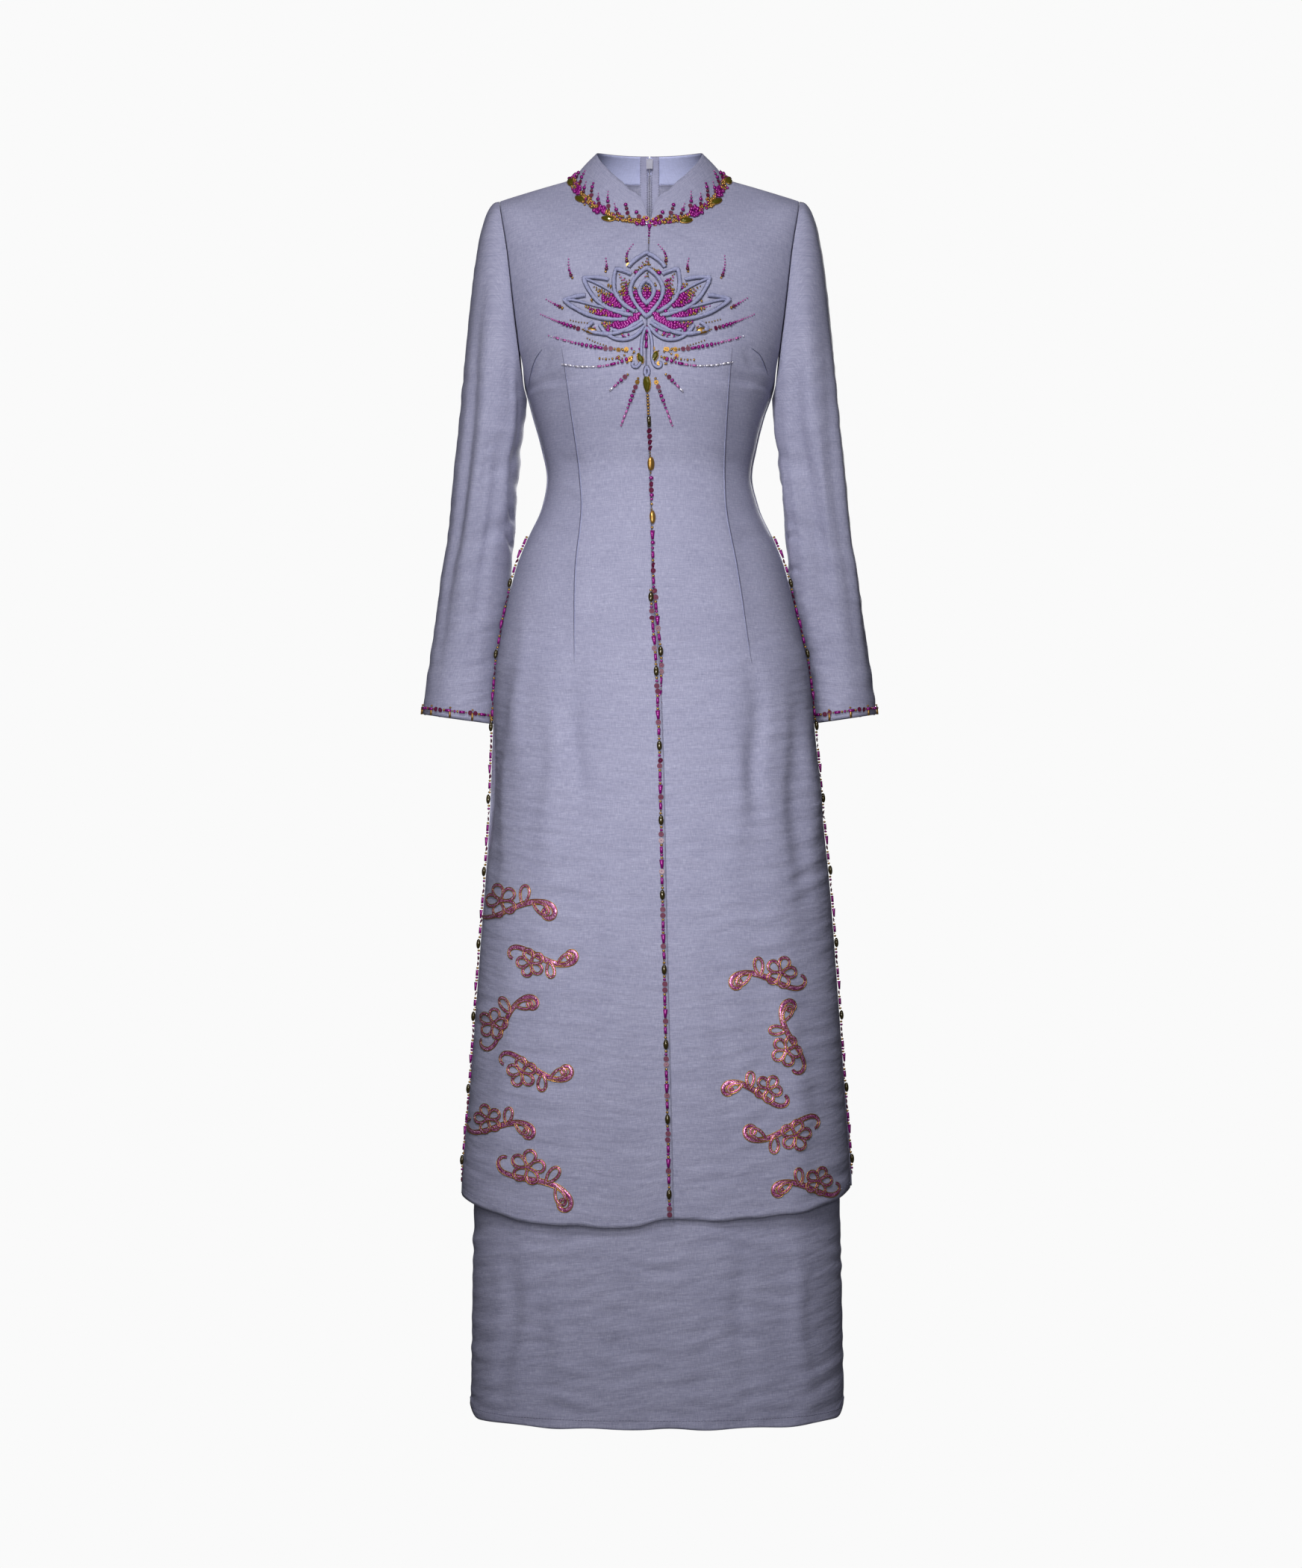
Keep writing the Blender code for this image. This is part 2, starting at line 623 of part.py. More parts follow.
def zip_point(side, x, row):
    """A point inside the centre back. Rows below 0 are on the collar, and the others are the back panel's.

    It lies on the first facet beside the centre back, moved in past the wall.
    """
    if row < 0:
        up = -row / ZIP_COLLAR_ROWS * ZIP_COLLAR_REACH
        first, second = collar_point(side, 0.0, up), collar_point(side, NECK_STATION, up)
    else:
        first = panel_point(BACK, side, LONG_HEM_Z, 0.0, NECK_ROWS + row, BACK_ROWS)
        second = panel_point(BACK, side, LONG_HEM_Z, 1 / COLUMNS, NECK_ROWS + row, BACK_ROWS)
    across = (abs(x) - abs(first.x)) / (abs(second.x) - abs(first.x))
    spot = first.lerp(second, across)
    return Vector((side * x, spot.y - WALL - LAYER_GAP, spot.z))


def make_zip_tape(side):
    rows = ZIP_COLLAR_ROWS + ZIP_PANEL_ROWS

    def place(u, v):
        return zip_point(side, ZIP_TAPE_INNER + ZIP_TAPE_WIDTH * u, ZIP_PANEL_ROWS - v * rows)

    name = "zip_tape_left" if side == LEFT else "zip_tape_right"
    return cloth(name, 1, rows, place, wall=ZIP_TAPE_WALL, turned=side == RIGHT, finish=INSIDE_TRIM)


def make_zip_coil():
    rows = ZIP_PANEL_ROWS + 1

    def place(u, v):
        x = ZIP_COIL_HALF_WIDTH * (2 * u - 1)
        return zip_point(RIGHT, x, ZIP_PANEL_ROWS - v * rows) + Vector((0, -0.2, 0))

    return cloth("zip_coil", 1, rows, place, wall=ZIP_COIL_DEPTH, turned=True, finish=INSIDE_TRIM)


def box(name, low, high, collection):
    """A box between two corners, in millimetres, whose object can then be placed."""
    made = bmesh.new()
    bmesh.ops.create_cube(made, size=1.0)
    low, high = Vector(low), Vector(high)
    bmesh.ops.scale(made, verts=made.verts, vec=(high - low) * MM)
    bmesh.ops.translate(made, verts=made.verts, vec=(low + high) / 2 * MM)
    mesh = bpy.data.meshes.new(name)
    made.to_mesh(mesh)
    made.free()
    piece = bpy.data.objects.new(name, mesh)
    collection.objects.link(piece)
    return piece


def join(target, others, operation):
    for other in others:
        other.hide_render = True
        other.display_type = "WIRE"
        modifier = target.modifiers.new(other.name, "BOOLEAN")
        modifier.operation = operation
        modifier.object = other


def zip_place():
    """Where the slider sits on the outside of the collar's centre back, and how far the collar leans in there."""
    spot = collar_point(RIGHT, 0.0, SLIDER_UP)
    low, high = collar_point(RIGHT, 0.0, SLIDER_UP - 0.1), collar_point(RIGHT, 0.0, SLIDER_UP + 0.1)
    return Vector((0, spot.y, spot.z)) * MM, math.atan2(low.y - high.y, high.z - low.z)


def make_slider():
    """The slider of a concealed zip: its body inside, a neck between the collar halves and an arch outside."""
    inside = -WALL - LAYER_GAP - ZIP_TAPE_WALL - 0.6
    body = box("zip_slider", (-3.75, inside - 3.0, -5.5), (3.75, inside, 5.5), tunic)
    parts = (
        ("slider_neck", (-0.45, inside - 0.5, -3.5), (0.45, 0.8, 3.5)),
        ("slider_plate", (-1.9, 0.45, -4.2), (1.9, 1.35, 4.2)),
        ("slider_arch_foot_low", (-0.8, 1.1, -3.1), (0.8, 3.4, -2.1)),
        ("slider_arch_foot_high", (-0.8, 1.1, 2.1), (0.8, 3.4, 3.1)),
        ("slider_arch_bar", (-0.8, 2.95, -3.1), (0.8, 3.75, 3.1)),
    )
    joined = [box(name, low, high, helpers) for name, low, high in parts]
    join(body, joined, "UNION")
    spot, lean = zip_place()
    for piece in [body] + joined:
        piece.location = spot
        piece.rotation_euler.x = lean
    body.data.materials.append(material(METAL))


def make_pull_tab():
    """The pull tab hangs on the slider's arch by its eye bar, and turns up about that bar."""
    half, bar, window, length = 2.6, 0.45, 4.7, 20.0
    outline = bmesh.new()
    steps = 8
    corners = [(half, bar), (-half, bar)]
    corners += [
        (half * math.cos(PI + PI * k / steps), -length + half + half * math.sin(PI + PI * k / steps))
        for k in range(steps + 1)
    ]
    points = [outline.verts.new((x, -bar, z)) for x, z in corners]
    face = outline.faces.new(points)
    side = bmesh.ops.extrude_face_region(outline, geom=[face])
    moved = [item for item in side["geom"] if isinstance(item, bmesh.types.BMVert)]
    bmesh.ops.translate(outline, verts=moved, vec=(0, 2 * bar, 0))
    bmesh.ops.recalc_face_normals(outline, faces=outline.faces)
    bmesh.ops.scale(outline, verts=outline.verts, vec=(MM, MM, MM))
    tab = add("zip_pull_tab", outline, METAL)
    eye = box("tab_window", (-1.6, -1, -window), (1.6, 1, -bar), helpers)
    join(tab, [eye], "DIFFERENCE")
    spot, lean = zip_place()
    for piece in (tab, eye):
        hinge = Vector((0, HINGE_OUT * MM * math.cos(lean), HINGE_OUT * MM * math.sin(lean)))
        piece.location = spot + hinge
        piece.rotation_euler.x = lean


def chest_surface(fronts):
    """A reader of the front's outer side: surface(x, z) gives the point there and the way out of the cloth."""
    points, faces = [], []
    for panel in fronts:
        first = len(points)
        points += [point.co / MM for point in panel.data.vertices]
        faces += [[first + k for k in face.vertices] for face in panel.data.polygons]
    tree = BVHTree.FromPolygons(points, faces)

    def surface(x, z):
        hits = [tree.ray_cast(Vector((x + aside, -400, z)), Vector((0, 1, 0))) for aside in (-0.6, 0, 0.6)]
        place, way = min(((hit[0], hit[1]) for hit in hits if hit[0]), key=lambda hit: hit[0].y)
        way = way if way.y < 0 else -way
        return Vector((x, place.y, z)), way

    return surface


def petal_outline(lean, foot, tip, half_width):
    """The pointed outline of a petal, from its foot up one side to its tip and down the other."""
    lean = math.radians(lean)
    points = []
    for k in range(PETAL_SAMPLES + 1):
        t = 2 * k / PETAL_SAMPLES
        side, up = (-1, t) if t <= 1 else (1, 2 - t)
        aside = side * half_width * math.sin(PI * up**1.15) ** 0.85
        along = foot + (tip - foot) * up
        x = LOTUS_BASE[0] + along * math.sin(lean) + aside * math.cos(lean)
        points.append((x, LOTUS_BASE[1] + along * math.cos(lean) - aside * math.sin(lean)))
    return points


def inside_outline(x, z, outline):
    crossed = False
    for (x1, z1), (x2, z2) in zip(outline, outline[1:] + outline[:1]):
        if (z1 > z) != (z2 > z) and x < x1 + (z - z1) * (x2 - x1) / (z2 - z1):
            crossed = not crossed
    return crossed


def lotus_cords():
    """The stretch of each petal's outline that shows past the petals before it."""
    apart = 2 * CORD_RADIUS + CORD_GAP
    laid, outlines, cords = [], [], []
    for petal in PETALS:
        outline = petal_outline(*petal)
        runs, run = [], []
        for x, z in outline:
            free = all(math.hypot(x - a, z - b) > apart for a, b in laid)
            free = free and math.hypot(x - outline[0][0], z - outline[0][1]) > CORD_FOOT_GAP
            if free and not any(inside_outline(x, z, other) for other in outlines):
                run.append((x, z))
            elif run:
                runs.append(run)
                run = []
        runs.append(run)
        longest = max(runs, key=len)
        laid += longest
        outlines.append(outline)
        cords.append(longest)
    return cords


def make_cord(name, points, surface):
    count = min(PETAL_POINTS, len(points))
    curve = bpy.data.curves.new(name, "CURVE")
    curve.dimensions = "3D"
    curve.bevel_depth = CORD_RADIUS * MM
    curve.bevel_resolution = 1
    curve.use_fill_caps = True
    spline = curve.splines.new("POLY")
    spline.points.add(count - 1)
    for k in range(count):
        x, z = points[round(k * (len(points) - 1) / (count - 1))]
        place, way = surface(x, z)
        spline.points[k].co = (*(place + way * (CORD_RADIUS + CORD_GAP)) * MM, 1)
    curve.materials.append(material(CLOTH))
    tunic.objects.link(bpy.data.objects.new(name, curve))


def make_stone(name, x, z, turn, length, width, surface):
    """A faceted marquise stone, its back 0.3 mm off the cloth."""
    made = bmesh.new()
    bmesh.ops.create_cone(
        made, cap_ends=True, segments=STONE_SEGMENTS, radius1=0.5, radius2=0.22, depth=1.0,
    )
    bmesh.ops.scale(made, verts=made.verts, vec=(width, length, STONE_HEIGHT))
    place, way = surface(x, z)
    up = Vector((math.sin(math.radians(turn)), 0, math.cos(math.radians(turn))))
    up = (up - way * up.dot(way)).normalized()
    turned = Matrix((up.cross(way), up, way)).transposed().to_4x4()
    off = place + way * (STONE_HEIGHT / 2 + STONE_GAP)
    bmesh.ops.transform(made, verts=made.verts, matrix=Matrix.Translation(off) @ turned)
    bmesh.ops.scale(made, verts=made.verts, vec=(MM, MM, MM))
    add(name, made, STONE)


def neck_stone_spot(angle):
    """Where a stone lies just below the neck seam, and how far it turns from upright."""
    turn = math.radians(angle)
    x = (NECK_HALF_WIDTH + NECK_STONE_BELOW) * math.sin(turn)
    seam = neck_seam(FRONT, abs(turn))
    drop = NECK_SEAM_TOP - neck_seam(FRONT, 0).z
    tangent = math.degrees(math.atan2(math.cos(turn) * NECK_HALF_WIDTH, math.sin(turn) * drop))
    return x, seam.z - NECK_STONE_BELOW * math.cos(turn), tangent


def clear_scene():
    for item in list(bpy.data.objects):
        bpy.data.objects.remove(item)


clear_scene()
tunic = bpy.data.collections.new("ao_dai_tunic")
helpers = bpy.data.collections.new("helpers")
for collection in (tunic, helpers):
    bpy.context.scene.collection.children.link(collection)
front_panels = [make_front(each_side) for each_side in (LEFT, RIGHT)]
for each_side in (LEFT, RIGHT):
    make_back(each_side)
    make_sleeve(each_side)
    make_collar(each_side)
    make_zip_tape(each_side)
make_under_flap()
make_zip_coil()
make_slider()
make_pull_tab()
chest = chest_surface(front_panels)
for number, cord in enumerate(lotus_cords()):
    make_cord(f"lotus_petal_{number + 1}", cord, chest)
for number, stone in enumerate(CHEST_STONES):
    make_stone(f"stone_chest_{number + 1}", *stone, chest)
for number, stone_angle in enumerate(NECK_STONES):
    make_stone(f"stone_neck_{number + 1}", *neck_stone_spot(stone_angle), *NECK_STONE_SIZE, chest)
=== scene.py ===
"""The looks of an ao dai tunic: shot silk and linen cloth, beads, stones, padded cord and a concealed zip.

Sizes are millimetres until a mesh is made. The front faces -Y, +Z is up, and left and right are the viewer's.
Every cloth piece lies on the same surface as its solid, with finer rows and its own folds.
"""

import math

import bpy
import numpy as np
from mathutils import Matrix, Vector
from mathutils.bvhtree import BVHTree


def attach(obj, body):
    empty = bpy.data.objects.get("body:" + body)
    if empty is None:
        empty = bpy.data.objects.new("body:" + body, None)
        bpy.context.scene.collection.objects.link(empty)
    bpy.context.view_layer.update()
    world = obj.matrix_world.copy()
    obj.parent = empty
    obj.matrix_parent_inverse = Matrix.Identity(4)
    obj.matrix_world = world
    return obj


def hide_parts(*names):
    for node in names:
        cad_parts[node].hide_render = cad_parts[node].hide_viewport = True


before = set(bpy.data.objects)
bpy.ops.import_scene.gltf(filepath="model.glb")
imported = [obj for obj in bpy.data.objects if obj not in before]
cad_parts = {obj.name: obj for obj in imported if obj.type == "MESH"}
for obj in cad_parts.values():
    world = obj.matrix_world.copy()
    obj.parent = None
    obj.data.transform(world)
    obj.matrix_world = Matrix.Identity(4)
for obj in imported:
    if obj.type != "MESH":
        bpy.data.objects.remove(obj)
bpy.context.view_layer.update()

MM = 0.001
FRONT, BACK = -1, 1
LEFT, RIGHT = -1, 1
SIDES = {LEFT: "left", RIGHT: "right"}
PI = math.pi

# The cut, as the solids have it
SEAM = 0.3
NECK_HALF_WIDTH = 86.0
NECK_FRONT, NECK_BACK = 66.0, 72.0
NECK_SEAM_TOP = 1.0
SHOULDER_POINT = (171.0, 0.0, -24.0)
COLLAR_TOP_HALF_WIDTH = 60.0
COLLAR_TOP_FRONT, COLLAR_TOP_BACK = 52.0, 58.0
COLLAR_CORNER = 13.0
COLLAR_NOTCH_HALF_WIDTH = 10.0
COLLAR_ZIP_HALF_GAP = 0.8
COLLAR_BOW = 1.5
OUTER_HEM_Z = {LEFT: -1177.0, RIGHT: -1169.0}
OUTER_HEM_RISE = 24.0
LONG_HEM_Z = -1400.0
SIDE_SLIT_HALF_GAP = 7.0
BACK_NARROWER = 17.0
UNDER_FLAP_TOP_Z = -392.0
UNDER_FLAP_BEHIND = (2.6, 7.2)
UNDER_FLAP_NARROWER = (2.0, 6.0)
UNDER_FLAP_WRAP = 0.93
SHOULDER_ROUNDING = {FRONT: 85.0, BACK: 60.0}
YOKE_SLOPE = -60.0
YOKE_FULLNESS = 41.0
NECK_ROWS, ARMHOLE_ROWS, SLIT_ROW = 6, 12, 18
FRONT_ROWS, BACK_ROWS = 34, 36
NECK_STATION = PI / 2 / NECK_ROWS
CENTRE_ABOVE_UNDERARM = 9.0
SIDE_SPACING = 0.87
ROUNDED_ROWS = (0.4, 1.0)
YOKE_ROWS = (0.25, 0.9)
NECK_EASE, ARMHOLE_EASE = 0.55, 0.35
HEM_ROWS, SLIT_OPENING_ROWS = 5, 8
SLEEVE_TOP_Z, CUFF_Z = -290.0, -613.0
CUFF_RISE = 6.0
CAP_RINGS, ARM_RINGS = 6, 11
CAP_LEAVE, CAP_ARRIVE = (0.10, 0.33), (0.60, 0.33)
CAP_FORWARD, CAP_OUTWARD = 0.30, 0.32
TUCK_REACH = (38.0, 95.0)
FLUTE_FOOT_Z = -1250.0


def between(values, slope, k, width, t):
    """A smooth curve from value k to the next one: each has its slope, and t runs from 0 to 1."""
    start = values[k] * (1 + 2 * t) * (1 - t) ** 2 + values[k + 1] * (3 - 2 * t) * t**2
    return start + width * t * (1 - t) * (slope[k] * (1 - t) - slope[k + 1] * t)


def table(names, *rows):
    """A short table with named columns: column(name, at) reads one at places along the first."""
    columns = dict(zip(names.split(), np.array(sorted(rows), float).T))
    places = columns[names.split()[0]]

    def column(name, at):
        values = columns[name]
        rise = np.diff(values) / np.diff(places)
        both = rise[:-1] * rise[1:]
        slope = np.concatenate([rise[:1], np.zeros(len(both)), rise[-1:]])
        same = both > 0
        slope[1:-1][same] = 2 * both[same] / (rise[:-1] + rise[1:])[same]
        at = np.clip(at, places[0], places[-1])
        k = np.clip(np.searchsorted(places, at, side="right") - 1, 0, len(places) - 2)
        width = places[k + 1] - places[k]
        return between(values, slope, k, width, (at - places[k]) / width)

    return column


FORM = table(
    "z      width  front  back  square lean",
    (6.5,    176.0,  20.0,  72.3, 2.3,  0.0),
    (-15,    176.0,  37.0,  77.0, 2.3,  0.0),
    (-31,    175.0,  50.0,  82.0, 2.3,  0.0),
    (-60,    174.0,  67.0,  91.0, 2.3,  0.0),
    (-100,   173.0,  88.0, 101.0, 2.3,  0.0),
    (-145,   168.0, 108.0, 106.0, 2.3,  0.0),
    (-195,   154.0, 123.0, 104.0, 2.35, 0.0),
    (-230,   144.5, 125.0,  99.0, 2.4,  0.0),
    (-247,   139.5, 123.0,  96.0, 2.4,  0.0),
    (-271,   132.0, 117.0,  92.0, 2.4, -1.0),
    (-305,   123.0, 106.0,  87.0, 2.35, -0.5),
    (-339,   117.0,  98.0,  84.0, 2.3,  0.0),
    (-373,   123.7,  99.0,  86.0, 2.3,  1.0),
    (-407,   139.0, 103.0,  91.0, 2.3,  1.0),
    (-441,   152.5, 107.0,  97.0, 2.3,  1.0),
    (-486,   163.5, 111.0, 104.0, 2.35, 1.0),
    (-523,   171.5, 113.0, 109.0, 2.35, 2.0),
    (-557,   177.5, 115.0, 112.0, 2.4,  3.0),
    (-628,   183.0, 117.0, 113.0, 2.4,  5.0),
    (-722,   189.0, 119.0, 115.0, 2.4,  7.5),
    (-824,   197.5, 121.0, 118.0, 2.4,  9.0),
    (-926,   205.0, 123.0, 121.0, 2.45, 9.0),
    (-1028,  212.0, 125.0, 124.0, 2.5,  9.0),
    (-1150,  221.0, 128.0, 127.0, 2.5,  8.5),
    (-1400,  226.0, 132.0, 133.0, 2.5,  9.0),
)

NECK_SEAM_HEIGHT = table(
    "y     z",
    (-66.0, -60.0),
    (-57.7, -52.0),
    (-37.8, -31.0),
    (-20.8, -15.5),
    (0.0,    1.0),
    (40.0,   4.5),
    (72.0,   6.5),
)

COLLAR_TOP_HEIGHT = table(
    "y     z",
    (-52.0, -22.0),
    (-44.7,  -9.0),
    (-25.0,  14.0),
    (0.0,    30.0),
    (30.0,   35.0),
    (58.0,   37.0),
)

ARMHOLE = {
    FRONT: table(
        "part  x      y      z",
        (0.00, 171.0,   0.0,  -24.0),
        (0.10, 169.0, -20.0,  -38.0),
        (0.30, 161.0, -39.0,  -86.0),
        (0.55, 154.0, -49.0, -145.0),
        (0.78, 147.5, -42.0, -196.0),
        (0.92, 143.0, -22.0, -232.0),
        (1.00, 139.5,   0.0, -247.0),
    ),
    BACK: table(
        "part  x      y      z",
        (0.00, 171.0,   0.0,  -24.0),
        (0.10, 169.0,  23.0,  -38.0),
        (0.30, 161.0,  45.0,  -86.0),
        (0.55, 153.5,  54.0, -147.0),
        (0.78, 147.5,  45.0, -197.0),
        (0.92, 143.5,  24.0, -232.0),
        (1.00, 139.5,   0.0, -247.0),
    ),
}

SLEEVE = table(
    "z      x      y     width  depth",
    (-290, 180.7,  6.0, 37.8, 54.0),
    (-322, 184.7, 11.0, 37.8, 52.5),
    (-356, 188.2, 16.0, 37.8, 50.5),
    (-407, 193.0, 26.0, 38.5, 48.5),
    (-441, 198.0, 34.0, 40.0, 47.5),
    (-475, 201.3, 42.0, 41.7, 47.0),
    (-509, 206.8, 50.0, 41.2, 46.5),
    (-543, 212.0, 57.0, 41.5, 46.5),
    (-577, 215.7, 61.0, 42.7, 46.5),
    (-613, 218.3, 64.0, 44.3, 47.0),
)

CENTRE = table(
    "z       left   right  tuck",
    (-60,    0.0,   0.0,  0.0),
    (-100,  -1.0,  -1.0,  0.0),
    (-224,  -3.4,  -3.4,  0.0),
    (-314,   0.0,   0.0,  0.0),
    (-371,   1.7,   1.7,  0.0),
    (-480,   4.5,   4.5,  0.0),
    (-518,   7.6,   7.6,  1.0),
    (-556,  11.0,  11.0,  3.2),
    (-600,  13.5,   8.0,  3.4),
    (-640,  15.0,   4.0,  3.4),
    (-800,  18.5,   0.0,  3.4),
    (-1180, 27.0,   0.0,  3.4),
)

ROW_HEIGHT = table(
    "row  front  back",
    (0,      0,     0),
    (12,  -247,  -247),
    (15,  -318,  -318),
    (18,  -403,  -403),
    (22,  -560,  -560),
    (34, -1176, -1280),
    (36, -1280, -1400),
)

FLUTES = {
    FRONT: (
        # x_top  x_hem  z_top   half_width  height
        (-104, -150, -620, 34, 3.4),
        (-48, -66, -760, 36, 2.2),
        (62, 84, -720, 40, 2.6),
        (128, 176, -560, 30, 4.2),
    ),
    BACK: (
        (-110, -152, -600, 38, 5.0),
        (-40, -52, -680, 40, 4.2),
        (38, 56, -640, 40, 4.6),
        (108, 150, -600, 38, 5.0),
    ),
}

SLEEVE_FOLDS = (
    # z     turn   slant  half_height  depth
    (-318, 2.6, 18, 16, 2.6),
    (-352, 3.3, -14, 15, 2.2),
    (-398, 2.2, 22, 18, 2.4),
    (-436, 3.9, -12, 16, 1.8),
    (-505, 1.2, 26, 24, 1.6),
)


def step(low, high, at):
    """0 up to low and 1 past high, with a smooth rise between them."""
    t = np.clip((at - low) / (high - low), 0.0, 1.0)
    return t * t * (3 - 2 * t)


def hump(distance, half_width):
    """A soft hump, 1 in the middle and 0 past its half width."""
    return np.cos(PI / 2 * np.minimum(np.abs(distance) / half_width, 1.0)) ** 2


def flutes(face, x, z):
    out = 0.0
    for x_top, x_hem, z_top, half_width, height in FLUTES[face]:
        down = np.clip((z_top - z) / (z_top - FLUTE_FOOT_Z), 0.0, 1.25)
        middle = x_top + (x_hem - x_top) * down
        out = out + height * step(0, 0.5, down) * hump(x - middle, half_width * (1 + 0.3 * down))
    return out


def form_width(face, z):
    return FORM("width", z) - (BACK_NARROWER * step(540, 1050, -z) if face == BACK else 0.0)


def form_depth(face, x, z):
    """How far the cloth stands from the plane of the side seams at a point seen from the front."""
    square = FORM("square", z)
    depth = FORM("front" if face == FRONT else "back", z)
    out = np.maximum(1 - np.abs((x - FORM("lean", z)) / form_width(face, z)) ** square, 0.0) ** (1 / square)
    past_neck = (np.abs(x) - NECK_HALF_WIDTH) / (SHOULDER_POINT[0] - NECK_HALF_WIDTH)
    slope = np.full(np.shape(past_neck), SHOULDER_POINT[2] - NECK_SEAM_TOP)
    if face == BACK:
        slope = np.where(past_neck < 0, YOKE_SLOPE, slope)
    t = np.clip((NECK_SEAM_TOP + slope * past_neck - z) / SHOULDER_ROUNDING[face], 0.0, 1.0)
    return out * (depth * np.sqrt(1 - (1 - t) ** 2) + flutes(face, x, z) * out)


def stack(x, y, z):
    return np.stack(np.broadcast_arrays(x, y, z), axis=-1).astype(float)


def neck_seam(face, turn):
    """Points of the neck seam: turn 0 is the centre front or back, and 90 degrees the side."""
    y = face * (NECK_FRONT if face == FRONT else NECK_BACK) * np.cos(turn)
    return stack(NECK_HALF_WIDTH * np.sin(turn), y, NECK_SEAM_HEIGHT("z", y))


def armhole(face, part):
    return stack(*(ARMHOLE[face](axis, part) for axis in "xyz"))


def centre_edge(face, side, z):
    """The x of a panel's edge at the centre front or centre back."""
    if face == BACK:
        return FORM("lean", z) * step(480, 700, -z) + side * SEAM / 2
    return CENTRE(SIDES[side], z) + side * SEAM / 2


def row_start(face, side, edge_z, row):
    """Where rows start: on the neck seam, or below it on the centre front or back."""
    seam = neck_seam(face, PI / 2 - np.minimum(row, NECK_ROWS) * NECK_STATION)
    seam[..., 0] = np.maximum(seam[..., 0], SEAM / 2)
    top = float(neck_seam(face, 0.0)[2])
    down = np.clip((row - NECK_ROWS) / (ARMHOLE_ROWS - NECK_ROWS), 0, 1)
    lower = edge_z + CENTRE_ABOVE_UNDERARM * (1 - step(ARMHOLE_ROWS, SLIT_ROW, row))
    z = np.where(row < ARMHOLE_ROWS, top + (edge_z + CENTRE_ABOVE_UNDERARM - top) * down, lower)
    x = centre_edge(face, side, z)
    centre = stack(side * (x - FORM("lean", z)), face * form_depth(face, x, z), z)
    return np.where((row < NECK_ROWS)[..., None], seam, centre)


def panel_place(face, side, hem, u, row):
    """Points of a front or back panel: u runs from the centre to the side, and row from shoulder to hem."""
    rows = FRONT_ROWS if face == FRONT else BACK_ROWS
    heights = "front" if face == FRONT else "back"
    edge_z = ROW_HEIGHT(heights, row)
    edge_z = edge_z + (hem - ROW_HEIGHT(heights, rows)) * step(SLIT_ROW, rows, row)
    start = row_start(face, side, edge_z, row)
    above = row < ARMHOLE_ROWS
    side_seam = stack(form_width(face, edge_z), 0.0, edge_z)
    end = np.where(above[..., None], armhole(face, np.minimum(row / ARMHOLE_ROWS, 1.0)), side_seam)
    rounded = step(*ROUNDED_ROWS, row / ARMHOLE_ROWS)
    across = (1 - rounded) * u + rounded * np.sin(PI / 2 * u) ** SIDE_SPACING
    rise = OUTER_HEM_RISE * step(rows - HEM_ROWS, rows, row) if face == FRONT else 0.0
    z = start[..., 2] + (end[..., 2] - start[..., 2]) * across + rise * across**4
    lean = FORM("lean", z)
    x = lean + side * (start[..., 0] + (end[..., 0] - start[..., 0]) * across)
    y = face * form_depth(face, x, z)
    formed = np.ones_like(y)
    if face == BACK:
        ruled = start[..., 1] + (end[..., 1] - start[..., 1]) * across**2
        fullness = YOKE_FULLNESS * np.sin(PI / 2 * np.minimum(row / NECK_ROWS, 1))
        ruled = ruled + fullness * across * np.sin(PI * across)
        formed = np.where(above, step(*YOKE_ROWS, row / ARMHOLE_ROWS), 1.0)
        y = ruled + (y - ruled) * formed
    off = start[..., 1] - face * form_depth(face, lean + side * start[..., 0], start[..., 2])
    y = y + (row < NECK_ROWS) * formed * off * (1 - step(0, NECK_EASE, across))
    off = end[..., 1] - face * form_depth(face, lean + side * end[..., 0], end[..., 2])
    y = y + above * formed * off * step(ARMHOLE_EASE, 1, across)
    if face == FRONT and side == RIGHT:
        y = y + CENTRE("tuck", z) * (1 - step(*TUCK_REACH, x))
    apart = SEAM / 2 + SIDE_SLIT_HALF_GAP * step(SLIT_ROW, SLIT_ROW + SLIT_OPENING_ROWS, row)
    return stack(x, face * np.maximum(face * y, apart), z)


def under_flap_place(u, v):
    """Points of the long inner front flap: u runs from left to right, and v from its top to its hem."""
    z = UNDER_FLAP_TOP_Z + (LONG_HEM_Z - UNDER_FLAP_TOP_Z) * v
    behind = np.interp(step(0, 0.22, v), (0, 1), UNDER_FLAP_BEHIND)
    width = FORM("width", z) - behind - np.interp(step(0, 0.5, v), (0, 1), UNDER_FLAP_NARROWER)
    wrap = PI / 2 * UNDER_FLAP_WRAP
    turn = wrap * (2 * u - 1)
    x = width * np.sign(turn) * np.abs(np.sin(turn) / math.sin(wrap)) ** SIDE_SPACING
    lean, square = FORM("lean", z), FORM("square", z)
    out = (1 - np.abs(x / (width + SEAM)) ** square) ** (1 / square)
    depth = FORM("front", z) - behind + flutes(FRONT, lean + x, z) * out
    return stack(lean + x, -out * depth, z)


def sleeve_ring(side, turn, z):
    """Points round the sleeve below the underarm: turn 0 is its outer side, and it runs forwards."""
    fold = 0.0
    aside = np.maximum(side * FORM("lean", z), 0.0)
    for fold_z, fold_turn, slant, half_height, depth in SLEEVE_FOLDS:
        off = np.arctan2(np.sin(turn - fold_turn), np.cos(turn - fold_turn))
        fold = fold + depth * hump(z - fold_z - slant * off, half_height) * hump(off, 1.5)
    x = SLEEVE("x", z) + (SLEEVE("width", z) - fold) * np.cos(turn) + aside * (1 - np.cos(turn)) / 2
    return stack(x, SLEEVE("y", z) - (SLEEVE("depth", z) - fold) * np.sin(turn), z)


